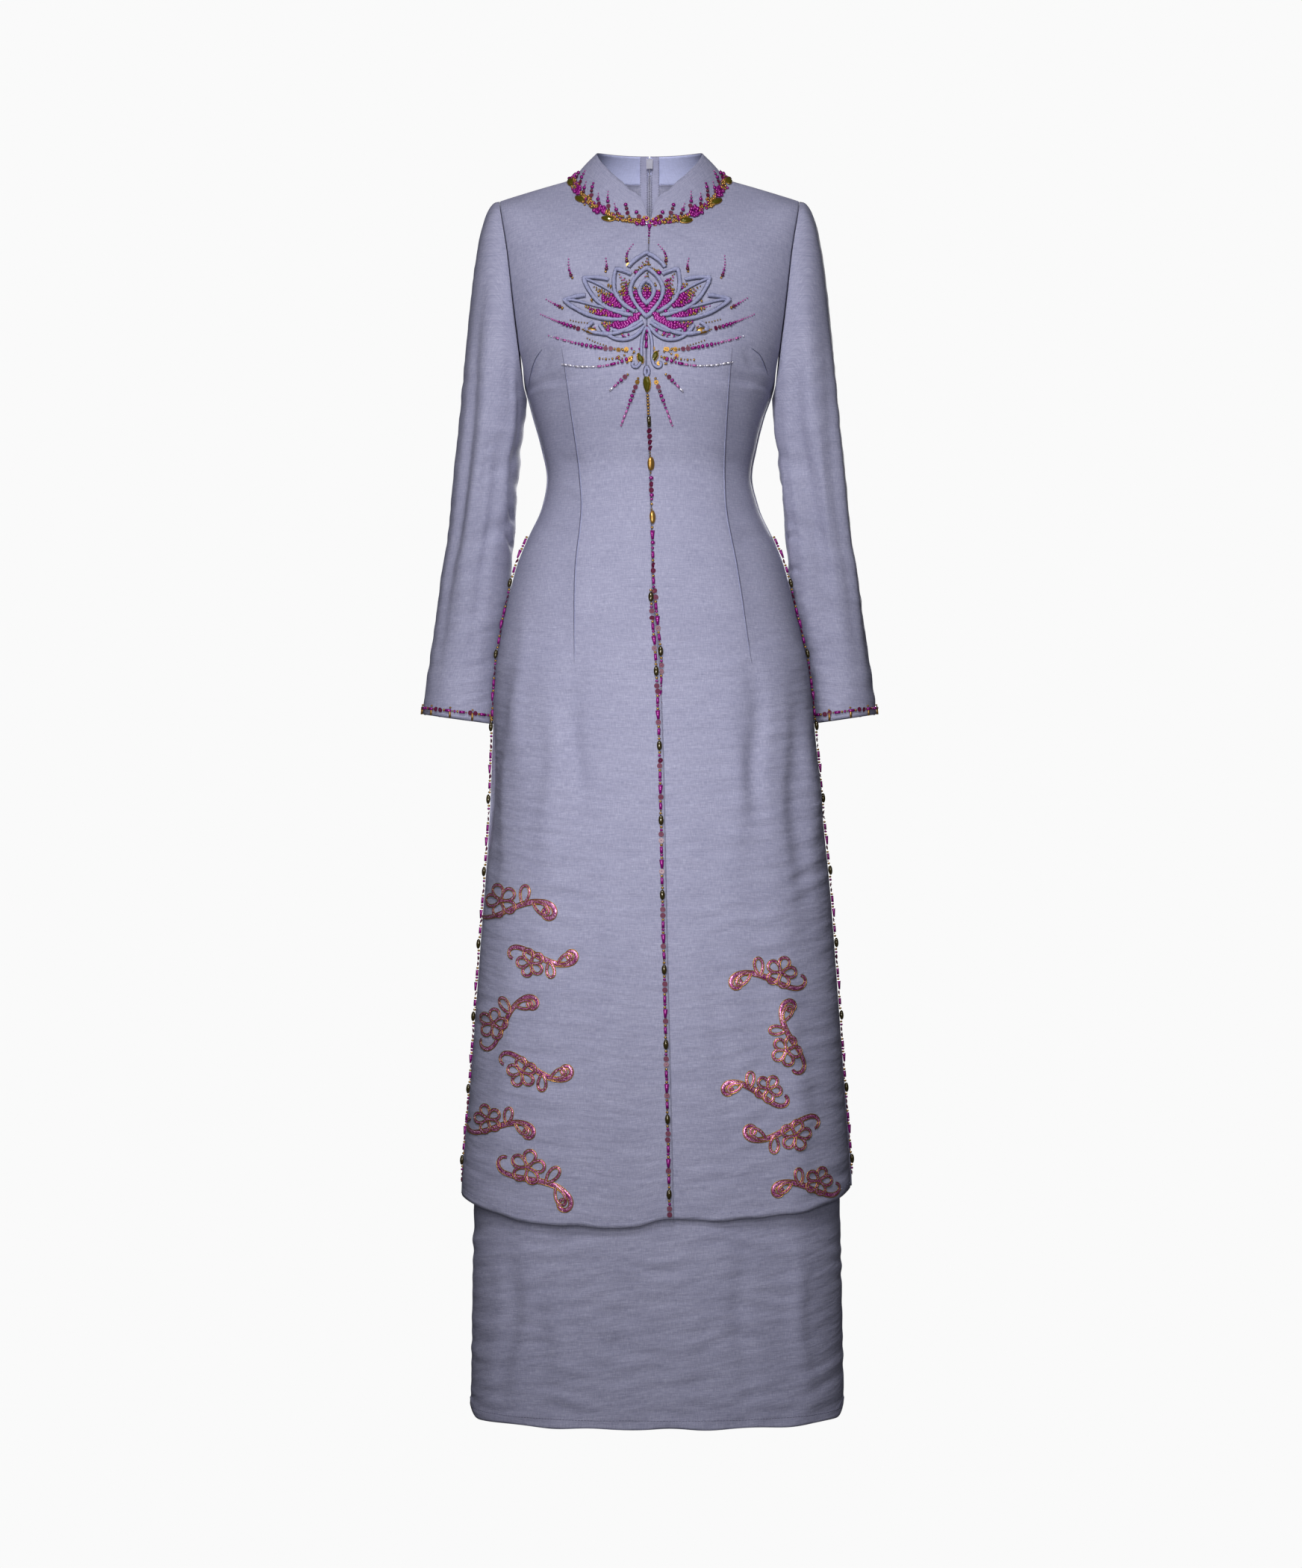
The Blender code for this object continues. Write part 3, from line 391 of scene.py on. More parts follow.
def sleeve_place(side, turn, ring):
    """Points of a sleeve, from the armhole (ring 0) over the cap to the cuff."""
    part = np.where(turn <= PI, turn / PI, 2 - turn / PI)
    start = np.where((turn <= PI)[..., None], armhole(FRONT, part), armhole(BACK, part))
    end = sleeve_ring(side, turn, np.full(np.shape(turn), SLEEVE_TOP_Z))
    top = np.cos(turn / 2) ** 2
    reach = np.linalg.norm(end - start, axis=-1)
    outward = top + CAP_OUTWARD * (1 - top) * np.abs(np.sin(turn))
    leave = stack(outward, -CAP_FORWARD * np.sin(turn), 0.9 * top - 1)
    leave *= (reach * np.interp(top, (0, 1), CAP_LEAVE[::-1]) / np.linalg.norm(leave, axis=-1))[..., None]
    arrive = unit(np.array((0.10, 0.06, -1.0))) * (reach * np.interp(top, (0, 1), CAP_ARRIVE[::-1]))[..., None]
    t = np.minimum(ring / CAP_RINGS, 1.0)[..., None]
    cap = start * (1 - t) ** 3 + (start + leave) * 3 * t * (1 - t) ** 2
    cap = cap + (end - arrive) * 3 * t * t * (1 - t) + end * t**3
    t = np.clip((ring - CAP_RINGS) / ARM_RINGS, 0, 1)
    arm = sleeve_ring(side, turn, SLEEVE_TOP_Z + (CUFF_Z - SLEEVE_TOP_Z) * t)
    arm[..., 2] += CUFF_RISE * t**6 * np.cos(turn)
    points = np.where((ring < CAP_RINGS)[..., None], cap, arm)
    points[..., 0] *= side
    return points


def collar_place(side, turn, up):
    """Points of the stand collar: turn 0 is the centre back, 180 degrees the front edge, and up 1 the top."""
    behind = turn <= PI / 2
    base = np.where(behind[..., None], neck_seam(BACK, turn), neck_seam(FRONT, PI - turn))
    base[..., 2] += SEAM + 0.4 * np.maximum(np.cos(turn), 0.0)
    y = np.where(behind, COLLAR_TOP_BACK, COLLAR_TOP_FRONT) * np.cos(turn)
    top = stack(COLLAR_TOP_HALF_WIDTH * np.sin(turn), y, COLLAR_TOP_HEIGHT("z", y))
    from_edge = (PI - turn) * (COLLAR_TOP_HALF_WIDTH + NECK_HALF_WIDTH) / 2
    into_corner = np.maximum(1 - from_edge / COLLAR_CORNER, 0.0)
    cut = COLLAR_CORNER * (1 - np.sqrt(1 - into_corner**2)) / np.linalg.norm(top - base, axis=-1)
    t = up * (1 - cut)
    points = base + (top - base) * t[..., None]
    bow = COLLAR_BOW * np.sin(PI * t)
    notch = COLLAR_NOTCH_HALF_WIDTH * t * step(0.80 * PI, PI, turn)
    zip_room = (COLLAR_ZIP_HALF_GAP - SEAM / 2) * (1 - step(0.0, NECK_STATION, turn))
    points[..., 0] += bow * np.sin(turn) + notch + zip_room + SEAM / 2
    points[..., 1] += bow * np.cos(turn)
    points[..., 0] *= side
    return points


# ---------------------------------------------------------------- making meshes


def unit(ways):
    """The same ways, each of length 1."""
    return ways / np.maximum(np.linalg.norm(ways, axis=-1, keepdims=True), 1e-9)


def run_length(points):
    """How far along a route each of its points is."""
    return np.concatenate([[0], np.cumsum(np.linalg.norm(np.diff(points, axis=0), axis=1))])


def spread(*stretches):
    """Places along a row or column: each stretch has its start, end and number of steps."""
    parts = [np.linspace(start, end, steps, endpoint=False) for start, end, steps in stretches]
    return np.concatenate(parts + [[stretches[-1][1]]])


def points_of(mesh):
    flat = np.empty(len(mesh.vertices) * 3, np.float32)
    mesh.vertices.foreach_get("co", flat)
    return flat.reshape(-1, 3)


def deselect():
    if bpy.context.mode != "OBJECT":
        bpy.ops.object.mode_set(mode="OBJECT")
    bpy.ops.object.select_all(action="DESELECT")


class Cloth:
    """The outer side of a cloth piece as a grid of points, with the lengths along its threads."""

    def __init__(self, place, columns, rows, outward, ring=False):
        self.columns, self.rows, self.outward, self.ring = columns, rows, outward, ring
        self.u, self.row = np.meshgrid(columns, rows)
        self.points = place(self.u, self.row)
        across, down = np.gradient(self.points, axis=1), np.gradient(self.points, axis=0)
        if ring:
            across[:, 0] = across[:, -1] = self.points[:, 1] - self.points[:, -2]
        self.way = unit(np.cross(down, across) * outward)
        aside = np.linalg.norm(np.diff(self.points, axis=1)[..., :2], axis=-1)
        self.across = np.concatenate([np.zeros((len(rows), 1)), np.cumsum(aside, axis=1)], axis=1)
        fall = np.linalg.norm(np.diff(self.points, axis=0)[..., 1:], axis=-1)
        fallen = np.concatenate([np.zeros((1, len(columns))), np.cumsum(fall, axis=0)])
        self.down = fallen - self.points[:1, :, 2]

    def raise_by(self, height):
        self.points = self.points + self.way * height[..., None]

    def make(self, name, wall, finish, inside=None):
        if self.ring:
            self.points[:, -1] = self.points[:, 0]
        steps_across, steps_down = len(self.columns) - 1, len(self.rows) - 1
        bpy.ops.mesh.primitive_grid_add(x_subdivisions=steps_across, y_subdivisions=steps_down, size=1)
        piece = bpy.context.object
        piece.name = piece.data.name = name
        mesh = piece.data
        flat = points_of(mesh)
        column = np.rint((flat[:, 0] + 0.5) * steps_across).astype(int)
        row = np.rint((0.5 - flat[:, 1]) * steps_down).astype(int)
        mesh.vertices.foreach_set("co", (self.points[row, column] * MM).astype(np.float32).ravel())
        corner = np.empty(len(mesh.loops), np.int32)
        mesh.loops.foreach_get("vertex_index", corner)
        threads = np.stack([self.across[row, column], self.down[row, column]], axis=1) * MM
        mesh.uv_layers[0].data.foreach_set("uv", threads[corner].astype(np.float32).ravel())
        if self.outward < 0:
            mesh.flip_normals()
        mesh.update()
        deselect()
        piece.select_set(True)
        bpy.context.view_layer.objects.active = piece
        if self.ring:
            bpy.ops.object.mode_set(mode="EDIT")
            bpy.ops.mesh.select_all(action="SELECT")
            bpy.ops.mesh.remove_doubles(threshold=0.00002)
            bpy.ops.object.mode_set(mode="OBJECT")
        for side_finish in filter(None, (finish, inside)):
            mesh.materials.append(side_finish)
        thickness = piece.modifiers.new("Solidify", "SOLIDIFY")
        thickness.thickness, thickness.offset = wall * MM, -1
        thickness.material_offset = 1 if inside else 0
        bpy.ops.object.modifier_apply(modifier=thickness.name)
        mesh.shade_smooth()
        return piece


# ---------------------------------------------------------------- materials


def colour(hex_value, alpha=1.0):
    """The linear colour of an sRGB hex value."""
    parts = [int(hex_value[k : k + 2], 16) / 255 for k in (1, 3, 5)]
    return [part / 12.92 if part <= 0.04045 else ((part + 0.055) / 1.055) ** 2.4 for part in parts] + [alpha]


def node(tree, kind, inputs=None, **settings):
    """Adds a node with its settings, and sets or links its inputs."""
    made = tree.nodes.new("ShaderNode" + kind)
    for name, value in settings.items():
        setattr(made, name, value)
    for key, value in (inputs or {}).items():
        if isinstance(value, bpy.types.NodeSocket):
            tree.links.new(value, made.inputs[key])
        else:
            made.inputs[key].default_value = value
    return made


def new_material(name):
    made = bpy.data.materials.new(name)
    made.use_nodes = True
    made.node_tree.nodes.clear()
    return made, made.node_tree


def shade(tree, **inputs):
    named = {key.replace("_", " "): value for key, value in inputs.items()}
    node(tree, "OutputMaterial", {"Surface": node(tree, "BsdfPrincipled", named).outputs[0]})


def ramp(tree, fac, *stops):
    made = node(tree, "ValToRGB", {"Fac": fac})
    elements = made.color_ramp.elements
    while len(elements) < len(stops):
        elements.new(0.5)
    for element, (place, tone) in zip(elements, stops):
        element.position = place
        element.color = colour(tone)
    return made.outputs["Color"]


def noise(tree, where, scale, detail=2.0, rough=0.55):
    stretched = node(tree, "Mapping", {"Vector": where, "Scale": scale}).outputs[0]
    inputs = {"Vector": stretched, "Scale": 1.0, "Detail": detail, "Roughness": rough}
    return node(tree, "TexNoise", inputs).outputs["Fac"]


def mix_up(tree, *parts):
    """Adds noises that are centred on a half, each times its share, to a half."""
    total = 0.5
    for share, fac in parts:
        centred = node(tree, "Math", {0: fac, 1: 0.5}, operation="SUBTRACT").outputs[0]
        total = node(tree, "Math", {0: centred, 1: share, 2: total}, operation="MULTIPLY_ADD").outputs[0]
    return total


THREAD = 1.1 * MM
SLUB = 8 * MM
THREAD_RELIEF, RIPPLE_RELIEF, FLAKE_RELIEF = 0.4 * MM, 2.6 * MM, 0.5 * MM
FLAKES_PER_METRE = 1100.0
COIL_WIDTH, COIL_PITCH, COIL_RELIEF = 2.1 * MM, 1.5 * MM, 0.3 * MM
# Crinkles stand full height below the first level, and hardly at all above the second, in metres
CRINKLED_Z, CALM_Z, CALM_SHARE = -0.56, -0.36, 0.15


def silk_linen(name, dark, base, light, crinkle=0.5, coords="UV", sheen=0.04):
    """Slubbed silk and linen, shot: grey-mauve one way and lavender blue the other, so it looks mottled.

    The real threads are 0.3 mm apart. They are drawn coarser, as coarse as they need to be to show.
    """
    made, tree = new_material(name)
    where = node(tree, "TexCoord").outputs[coords]
    warp = noise(tree, where, (1 / THREAD, 1 / SLUB, 1 / SLUB), 2.0, 0.7)
    weft = noise(tree, where, (1 / SLUB, 1 / THREAD, 1 / THREAD), 2.0, 0.7)
    long_slubs = noise(tree, where, (28, 620, 620), 2.0, 0.6)
    cloud = noise(tree, where, (16, 22, 16), 3.0, 0.55)
    tone = mix_up(tree, (0.6, warp), (0.6, weft), (0.28, long_slubs), (0.22, cloud))
    slanted = node(tree, "Mapping", {"Vector": where, "Rotation": (0, 0, 0.16)}).outputs[0]
    ripples = noise(tree, slanted, (24, 130, 130), 1.6, 0.45)
    height = node(tree, "SeparateXYZ", {"Vector": node(tree, "TexCoord").outputs["Object"]}).outputs["Z"]
    calm = node(tree, "MapRange", {
        "Value": height, "From Min": CRINKLED_Z, "From Max": CALM_Z,
        "To Min": crinkle, "To Max": CALM_SHARE * crinkle,
    }).outputs["Result"]
    threads = node(tree, "Math", {0: warp, 1: weft}, operation="ADD").outputs[0]
    fine = node(tree, "Bump", {"Height": threads, "Strength": 0.3, "Distance": THREAD_RELIEF}).outputs[0]
    coarse = node(tree, "Bump", {
        "Height": ripples, "Strength": calm, "Distance": RIPPLE_RELIEF, "Normal": fine,
    })
    shade(
        tree, Base_Color=ramp(tree, tone, (0.14, dark), (0.5, base), (0.88, light)), Roughness=0.66,
        Normal=coarse.outputs[0], Sheen_Weight=sheen, Sheen_Roughness=0.5, Sheen_Tint=colour("#c9c9f0"),
        Specular_IOR_Level=0.22,
    )
    return made


def plain(name, tone, rough, metal=0.0, coat=0.0):
    made, tree = new_material(name)
    shade(
        tree, Base_Color=colour(tone), Roughness=rough, Metallic=metal, Coat_Weight=coat, Coat_Roughness=0.05,
        IOR=1.5,
    )
    return made


def glitter(name, dark, base, light):
    """Fine flakes set in clear glue: each small cell has its own tone and its own lean."""
    made, tree = new_material(name)
    where = node(tree, "TexCoord").outputs["Object"]
    cells = node(tree, "TexVoronoi", {"Vector": where, "Scale": FLAKES_PER_METRE})
    value = node(tree, "SeparateColor", {"Color": cells.outputs["Color"]}).outputs[0]
    tint = ramp(tree, value, (0.1, dark), (0.55, base), (0.93, light))
    bumped = node(tree, "Bump", {"Height": value, "Strength": 0.7, "Distance": FLAKE_RELIEF})
    shade(tree, Base_Color=tint, Roughness=0.3, Metallic=0.55, Normal=bumped.outputs[0])
    return made


def spun_coil(name):
    """Spun nylon coil: fine ridges across it, and painted shade in the grooves down the middle and both sides."""
    made, tree = new_material(name)
    where = node(tree, "SeparateXYZ", {"Vector": node(tree, "TexCoord").outputs["Object"]}).outputs
    across = node(tree, "Math", {0: where["X"], 1: 2 * PI / COIL_WIDTH}, operation="MULTIPLY").outputs[0]
    painted_groove_shade = node(tree, "Math", {0: across}, operation="COSINE").outputs[0]
    level = node(tree, "MapRange", {"Value": painted_groove_shade, "From Min": -1.0, "From Max": 1.0}).outputs["Result"]
    down = node(tree, "Math", {0: where["Z"], 1: 2 * PI / COIL_PITCH}, operation="MULTIPLY").outputs[0]
    ridge = node(tree, "Math", {0: down}, operation="SINE").outputs[0]
    bumped = node(tree, "Bump", {"Height": ridge, "Strength": 0.4, "Distance": COIL_RELIEF})
    # The dark end of the ramp is painted shade in the coil's grooves
    tint = ramp(tree, level, (0.3, "#9a9ab6"), (0.75, "#45455a"))
    shade(tree, Base_Color=tint, Roughness=0.45, Normal=bumped.outputs[0])
    return made


# Outer cloth: slubs both ways streak it softly, and it hardly shines
silk = silk_linen("silk_linen_slubbed_weave", "#70718a", "#8b8ba3", "#a8a8be")
# The facing inside the collar, paler and bluer
facing = silk_linen("silk_linen_collar_facing", "#a4a8cc", "#b7bbe0", "#cbd0f0", 0.3)
# The same cloth cut on the bias and pulled smooth over cord
bias = silk_linen("silk_linen_bias_over_cord", "#686b89", "#8587a6", "#a2a4c2", 0.3, "Object", 0.0)
# Sewing thread, matt: pale where it lies on the cloth, and dark where it lies in its shade
thread = plain("pale_sewing_thread", "#9d9dbc", 0.7)
dark_thread = plain("shaded_sewing_thread", "#4c4b60", 0.8)
# Beads, sequins, stones and their settings
FINISHES = {
    # Foil behind pressed glass glints through a deep colour, and dyed film is darker and nearly matt
    "magenta": plain("foil_lined_magenta_glass", "#820a72", 0.34, 0.35, 0.2),
    "maroon": plain("dark_garnet_sequin_film", "#560a30", 0.55, 0.1, 0.15),
    # Clear glass with a rose lining looks milky, and with a silver lining pale and bright
    "pink": plain("lined_rose_glass", "#ab5c9b", 0.38, 0.25, 0.15),
    "silver": plain("silver_lined_clear_glass", "#d6d2e0", 0.3, 0.5, 0.3),
    # Gilt brass is warm with soft highlights, film in champagne paler, and bronze-lined glass browner
    "gilt": plain("gilt_brass", "#a98042", 0.36, 0.8),
    "pale_gilt": plain("champagne_sequin_film", "#9c7434", 0.36, 0.75),
    "bronze": plain("bronze_lined_glass", "#7a5f31", 0.36, 0.5, 0.2),
    # Dark cut glass is nearly black, with sharp glints on its faces
    "black": plain("black_olive_cut_glass", "#3a3112", 0.22, 0.45, 0.5),
    "olive": plain("olive_cut_glass", "#56500f", 0.2, 0.4, 0.6),
}
rose_glitter = glitter("rose_glitter_in_glue", "#701f58", "#a84a86", "#e0a8cc")
# The zip: woven tape a little paler than the cloth, painted metal with a low shine, and nylon coil
ribbon = silk_linen("zip_tape_ribbon", "#8f8fae", "#a3a3c0", "#b6b6cf", 0.1, "Object", 0.05)
zip_paint = plain("painted_zip_metal", "#d6d5e6", 0.35, 0.2, 0.4)
coil_nylon = spun_coil("spun_nylon_zip_coil")
ZIP_FINISHES = {
    "zip_tape_left": ribbon, "zip_tape_right": ribbon, "zip_coil": coil_nylon, "zip_slider": zip_paint,
    "zip_pull_tab": zip_paint,
}
for node_name, node_finish in ZIP_FINISHES.items():
    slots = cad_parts[node_name].data.materials
    if len(slots):
        slots[0] = node_finish
    else:
        slots.append(node_finish)


def ride(piece, slot, *nodes):
    """The piece moves with the tunic and stands for these solids, which are hidden. The slot is not used."""
    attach(piece, "tunic")
    if nodes:
        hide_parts(*nodes)


# ---------------------------------------------------------------- cloth pieces

CLOTH_WALL, COLLAR_WALL = 0.9, 1.5
CRINKLE_DEPTH, FOLD_DEPTH = 0.85, 1.8
SEAM_DEPTH, SEAM_REACH = 0.9, 1.3
DART_SLOPE, DART_REACH = 0.34, 19.0
LAP_HEM_RISE, HEM_RISE = 9.0, 1.0
FLAP_HEM_WAVE, FLAP_CORNER_RISE = 1.3, 11.0
UNDER_FLAP_DEEPER = 0.8
# The row where the centre front opens, and the one below which rows are evenly spaced
CENTRE_OPEN_ROW, SKIRT_ROW = 21, 22
# Where the fine crinkles start, and where they are at their deepest
CRINKLED_FROM = (-430, -700)
ARM_RADIUS = 45.0
EDGE_STEPS = (0.0, 0.005, 0.011, 0.02, 0.034)

# Each piece's cloth, by name
sheets = {}

# The main folds of each piece: x and z at the top, x and z at the foot, half width, height (a trough is below 0)
FOLDS = {
    "front_left": (
        (-84, -535, -80, -742, 17, -2.6),
        (-106, -560, -112, -790, 18, 1.9),
        (-166, -540, -184, -850, 15, -2.8),
        (-142, -470, -150, -700, 14, 1.5),
        (-32, -690, -38, -1120, 26, 1.3),
        (-60, -820, -72, -1185, 22, -1.6),
        (-150, -800, -168, -1170, 22, 1.7),
        (-140, -236, -98, -204, 9, -1.6),
        (-137, -250, -104, -236, 8, 1.0),
        (-108, -322, -66, -334, 10, -0.9),
        (-112, -352, -60, -366, 9, 0.8),
        (-134, -392, -92, -410, 11, -0.9),
    ),
    "front_right": (
        (115, -535, 122, -760, 17, -2.8),
        (94, -560, 98, -800, 18, 1.6),
        (176, -600, 190, -790, 14, 1.8),
        (160, -545, 172, -860, 17, -2.6),
        (42, -640, 48, -1140, 26, 1.3),
        (74, -800, 88, -1175, 20, -1.5),
        (150, -860, 172, -1160, 20, 1.6),
        (138, -232, 100, -206, 9, -1.5),
        (136, -248, 110, -238, 8, 0.9),
        (66, -318, 112, -334, 10, -0.8),
        (58, -356, 114, -372, 9, 0.8),
        (96, -418, 140, -400, 12, -1.0),
    ),
    "back_left": (
        (-70, -500, -76, -800, 18, -2.4),
        (-118, -560, -128, -960, 20, 2.0),
        (-40, -700, -44, -1300, 26, 1.8),
        (-94, -820, -106, -1390, 24, -2.2),
        (-112, -352, -30, -330, 10, -1.3),
        (-116, -326, -44, -306, 9, 1.0),
        (-120, -118, -92, -230, 12, -1.4),
    ),
    "back_right": (
        (74, -510, 82, -760, 18, -2.2),
        (116, -580, 130, -1010, 20, 1.8),
        (46, -680, 50, -1260, 26, 1.6),
        (98, -860, 112, -1390, 24, -2.0),
        (30, -336, 112, -356, 10, -1.2),
        (40, -312, 114, -334, 9, 1.0),
        (118, -122, 94, -226, 12, -1.3),
    ),
    "front_under_flap": (
        (-150, -1180, -164, -1395, 18, -2.4),
        (-96, -1190, -104, -1398, 22, 2.0),
        (-30, -1185, -28, -1398, 20, -1.7),
        (38, -1180, 44, -1398, 22, 2.0),
        (98, -1180, 110, -1398, 18, -2.2),
        (160, -1180, 176, -1392, 16, 1.9),
    ),
}

# Folds of each sleeve: turn and z at the top, turn and z at the foot, half width, height
SLEEVE_CREASES = {
    LEFT: (
        (0.95, -110, 0.80, -585, 0.30, -2.3),
        (1.40, -150, 1.25, -540, 0.26, 1.5),
        (1.95, -250, 1.75, -600, 0.28, -1.5),
        (2.35, -180, 2.30, -420, 0.24, 1.2),
        (4.20, -150, 4.35, -560, 0.34, -2.0),
        (5.10, -200, 5.20, -590, 0.34, 1.6),
        (2.30, -404, 3.20, -420, 0.16, -1.6),
        (2.35, -372, 3.10, -392, 0.14, -1.2),
    ),
    RIGHT: (
        (0.60, -150, 0.70, -575, 0.34, 2.6),
        (1.90, -120, 1.75, -600, 0.62, -4.2),
        (2.75, -140, 2.60, -560, 0.30, 2.2),
        (1.30, -260, 1.35, -520, 0.16, 0.8),
        (2.40, -200, 2.30, -480, 0.20, 0.9),
        (4.30, -160, 4.20, -570, 0.34, -1.9),
        (5.15, -180, 5.05, -600, 0.34, 1.5),
        (2.05, -412, 3.20, -398, 0.16, -1.5),
        (2.20, -448, 3.15, -436, 0.14, -1.1),
    ),
}

# Darts down each front: x and z from the bust point to the hip
DARTS = {
    "long_left": [(-96.6, -203), (-88, -266), (-77.5, -345), (-75.5, -372), (-82, -448), (-82.6, -556)],
    "long_right": [(90.8, -203), (86.5, -266), (83.5, -343), (84.5, -372), (97.5, -448), (113, -556)],
    "bust_left": [(-118.6, -203), (-126, -212), (-132, -226), (-135.4, -241)],
    "bust_right": [(113, -203), (122, -209), (128, -219), (132.5, -230)],
}


def smooth_through(points, count):
    """A curve through the points, read from piecewise slopes that keep its shape."""
    points = np.array(points, float)
    reach = run_length(points)
    at = np.linspace(0, reach[-1], count)
    slope = np.gradient(points, reach, axis=0)
    k = np.clip(np.searchsorted(reach, at, side="right") - 1, 0, len(points) - 2)
    width = (reach[k + 1] - reach[k])[:, None]
    return between(points, slope, k, width, (at - reach[k])[:, None] / width)


def dart_breaks(side, x, z):
    """How far the cloth falls away outside each dart, where the front turns to the side."""
    out = np.zeros(np.shape(z))
    for name, points in DARTS.items():
        if name.endswith(SIDES[side]):
            line = smooth_through(points, 60)[::-1]
            top, foot = points[0][1], points[-1][1]
            outside = side * (x - np.interp(z, line[:, 1], line[:, 0]))
            outside = 0.5 * (outside + np.sqrt(outside**2 + 9)) - 1.5
            near = step(top + 8, top - 22, z) * (1 - step(foot + 40, foot - 6, z))
            share = 1.0 if name.startswith("long") else 0.4
            out = out - share * DART_SLOPE * near * outside * np.exp(-np.maximum(outside, 0) / DART_REACH)
    return out


def groove(distance):
    """How deep the cloth dips into a seam at a distance from it."""
    return -SEAM_DEPTH * np.exp(-((distance / SEAM_REACH) ** 2))


def folds_at(rows, across, z, width_scale=1.0):
    """The height of the folds in a table, read at places across and down a piece."""
    out = np.zeros(np.shape(z))
    for x1, z1, x2, z2, half_width, height in rows:
        dx, dz = (x2 - x1) / width_scale, z2 - z1
        length = math.hypot(dx, dz)
        off_x, off_z = (across - x1) / width_scale, z - z1
        t = (off_x * dx + off_z * dz) / length**2
        aside = (off_x * dz - off_z * dx) / length
        sway = 0.22 * half_width / width_scale * np.sin(t * 9 + x1)
        out = out + height * hump(aside - sway, half_width / width_scale) * hump(t - 0.5, 0.6)
    return FOLD_DEPTH * out


def crinkles(x, z, seed, slope=0.16):
    """Short fine crinkles nearly level across the cloth, in uneven patches."""
    slant = z - slope * x
    first = np.sin(slant / 3.2 + 2.4 * np.sin(x / 19 + z / 60 + seed))
    first = first * np.sin(x / 33 + z / 47 + seed) * np.sin(x / 71 - z / 29)
    second = np.sin(slant / 5.1 + 1.9 * np.sin(x / 27 - z / 90) + seed)
    return CRINKLE_DEPTH * (0.7 * first + second * np.sin(x / 41 - z / 61) * np.sin(x / 23 + z / 83))


def columns_of(count):
    """Places from one side of a piece to the other, closer together beside its seams."""
    edge = np.array(EDGE_STEPS)
    return np.concatenate([edge[:-1], np.linspace(edge[-1], 1 - edge[-1], count), 1 - edge[:-1][::-1]])


def panel_rows(rows):
    lower = spread(
        (0, ARMHOLE_ROWS, 78), (ARMHOLE_ROWS, SLIT_ROW, 38), (SLIT_ROW, SKIRT_ROW, 36),
        (SKIRT_ROW, rows, 13 * (rows - SKIRT_ROW)),
    )
    return np.concatenate([[0.0, 0.03, 0.07, 0.12], lower[lower > 0.15]])


def panel_of(face, side):
    """The surface of one front or back, from u and row."""
    return lambda u, row: panel_place(face, side, OUTER_HEM_Z[side] if face == FRONT else LONG_HEM_Z, u, row)


def sleeve_of(side):
    """The surface of one sleeve, from u and ring: u starts and ends at the underarm."""
    return lambda u, ring: sleeve_place(side, 2 * PI * ((u + 0.5) % 1.0), ring)


def dress(cloth, name, wall=CLOTH_WALL, inside=None):
    """Makes a piece's cloth in place of its solid, and keeps it by name."""
    piece = cloth.make(name + "_cloth", wall, silk, inside)
    ride(piece, "silk_linen", name)
    sheets[name] = piece


def panel(face, side):
    rows = FRONT_ROWS if face == FRONT else BACK_ROWS
    name = ("front_" if face == FRONT else "back_") + SIDES[side]
    cloth = Cloth(panel_of(face, side), columns_of(48), panel_rows(rows), -side * face)
    x, z = cloth.points[..., 0], cloth.points[..., 2]
    from_side = cloth.across[:, -1:] - cloth.across
    open_row = BACK_ROWS + 1 if face == BACK else CENTRE_OPEN_ROW
    relief = groove(from_side) * (cloth.row <= SLIT_ROW) + groove(cloth.down - cloth.down[:1])
    relief = relief + groove(cloth.across) * (cloth.row < open_row)
    inside = np.minimum(step(0, 6, from_side), step(0, 6, cloth.across))
    relief = relief + folds_at(FOLDS[name], x, z) * inside
    # The fine crinkles are deeper low on the sides, and die out at the slit
    crinkled = step(*CRINKLED_FROM, z) * (0.4 + 0.6 * step(20, 120, np.abs(x)))
    crinkled = crinkled * step(4, 34, from_side) * inside
    relief = relief + crinkles(x, z, side) * crinkled
    if face == FRONT:
        relief = relief + dart_breaks(side, x, z)
        # The hem rises a little to the slit on the lapping side, and waves a little all along
        foot = step(FRONT_ROWS - 6, FRONT_ROWS, cloth.row)
        rise = (LAP_HEM_RISE if side == LEFT else HEM_RISE) * (1 - step(0, 60, cloth.across))
        cloth.points[..., 2] += foot * (rise + 0.9 * np.sin(x / 17.0) + 0.5 * np.sin(x / 7.1))
        relief = relief + foot * 1.1 * np.sin(x / 23.0 + side)
    cloth.raise_by(relief)
    # The weave is counted from the middle of the body, so that it runs straight down
    cloth.across += np.abs(cloth.points[:, :1, 0])
    dress(cloth, name)


def under_flap():
    cloth = Cloth(under_flap_place, columns_of(92), spread((0, 0.78, 120), (0.78, 1, 90)), 1)
    x, z = cloth.points[..., 0], cloth.points[..., 2]
    relief = folds_at(FOLDS["front_under_flap"], x, z) + crinkles(x, z, 2.0, 0.1) * step(-1120, -1200, z)
    hem = step(-1378, -1398, z)
    relief = relief + FLAP_HEM_WAVE * hem * (np.sin(x / 19.0) * 0.6 + np.sin(x / 8.3 + 1) * 0.4)
    corner = step(0.80, 1.0, np.abs(2 * cloth.u - 1)) ** 1.5
    cloth.points[..., 2] += hem * (FLAP_CORNER_RISE * corner + np.sin(x / 14.0))
    cloth.raise_by(relief - UNDER_FLAP_DEEPER)
    dress(cloth, "front_under_flap")


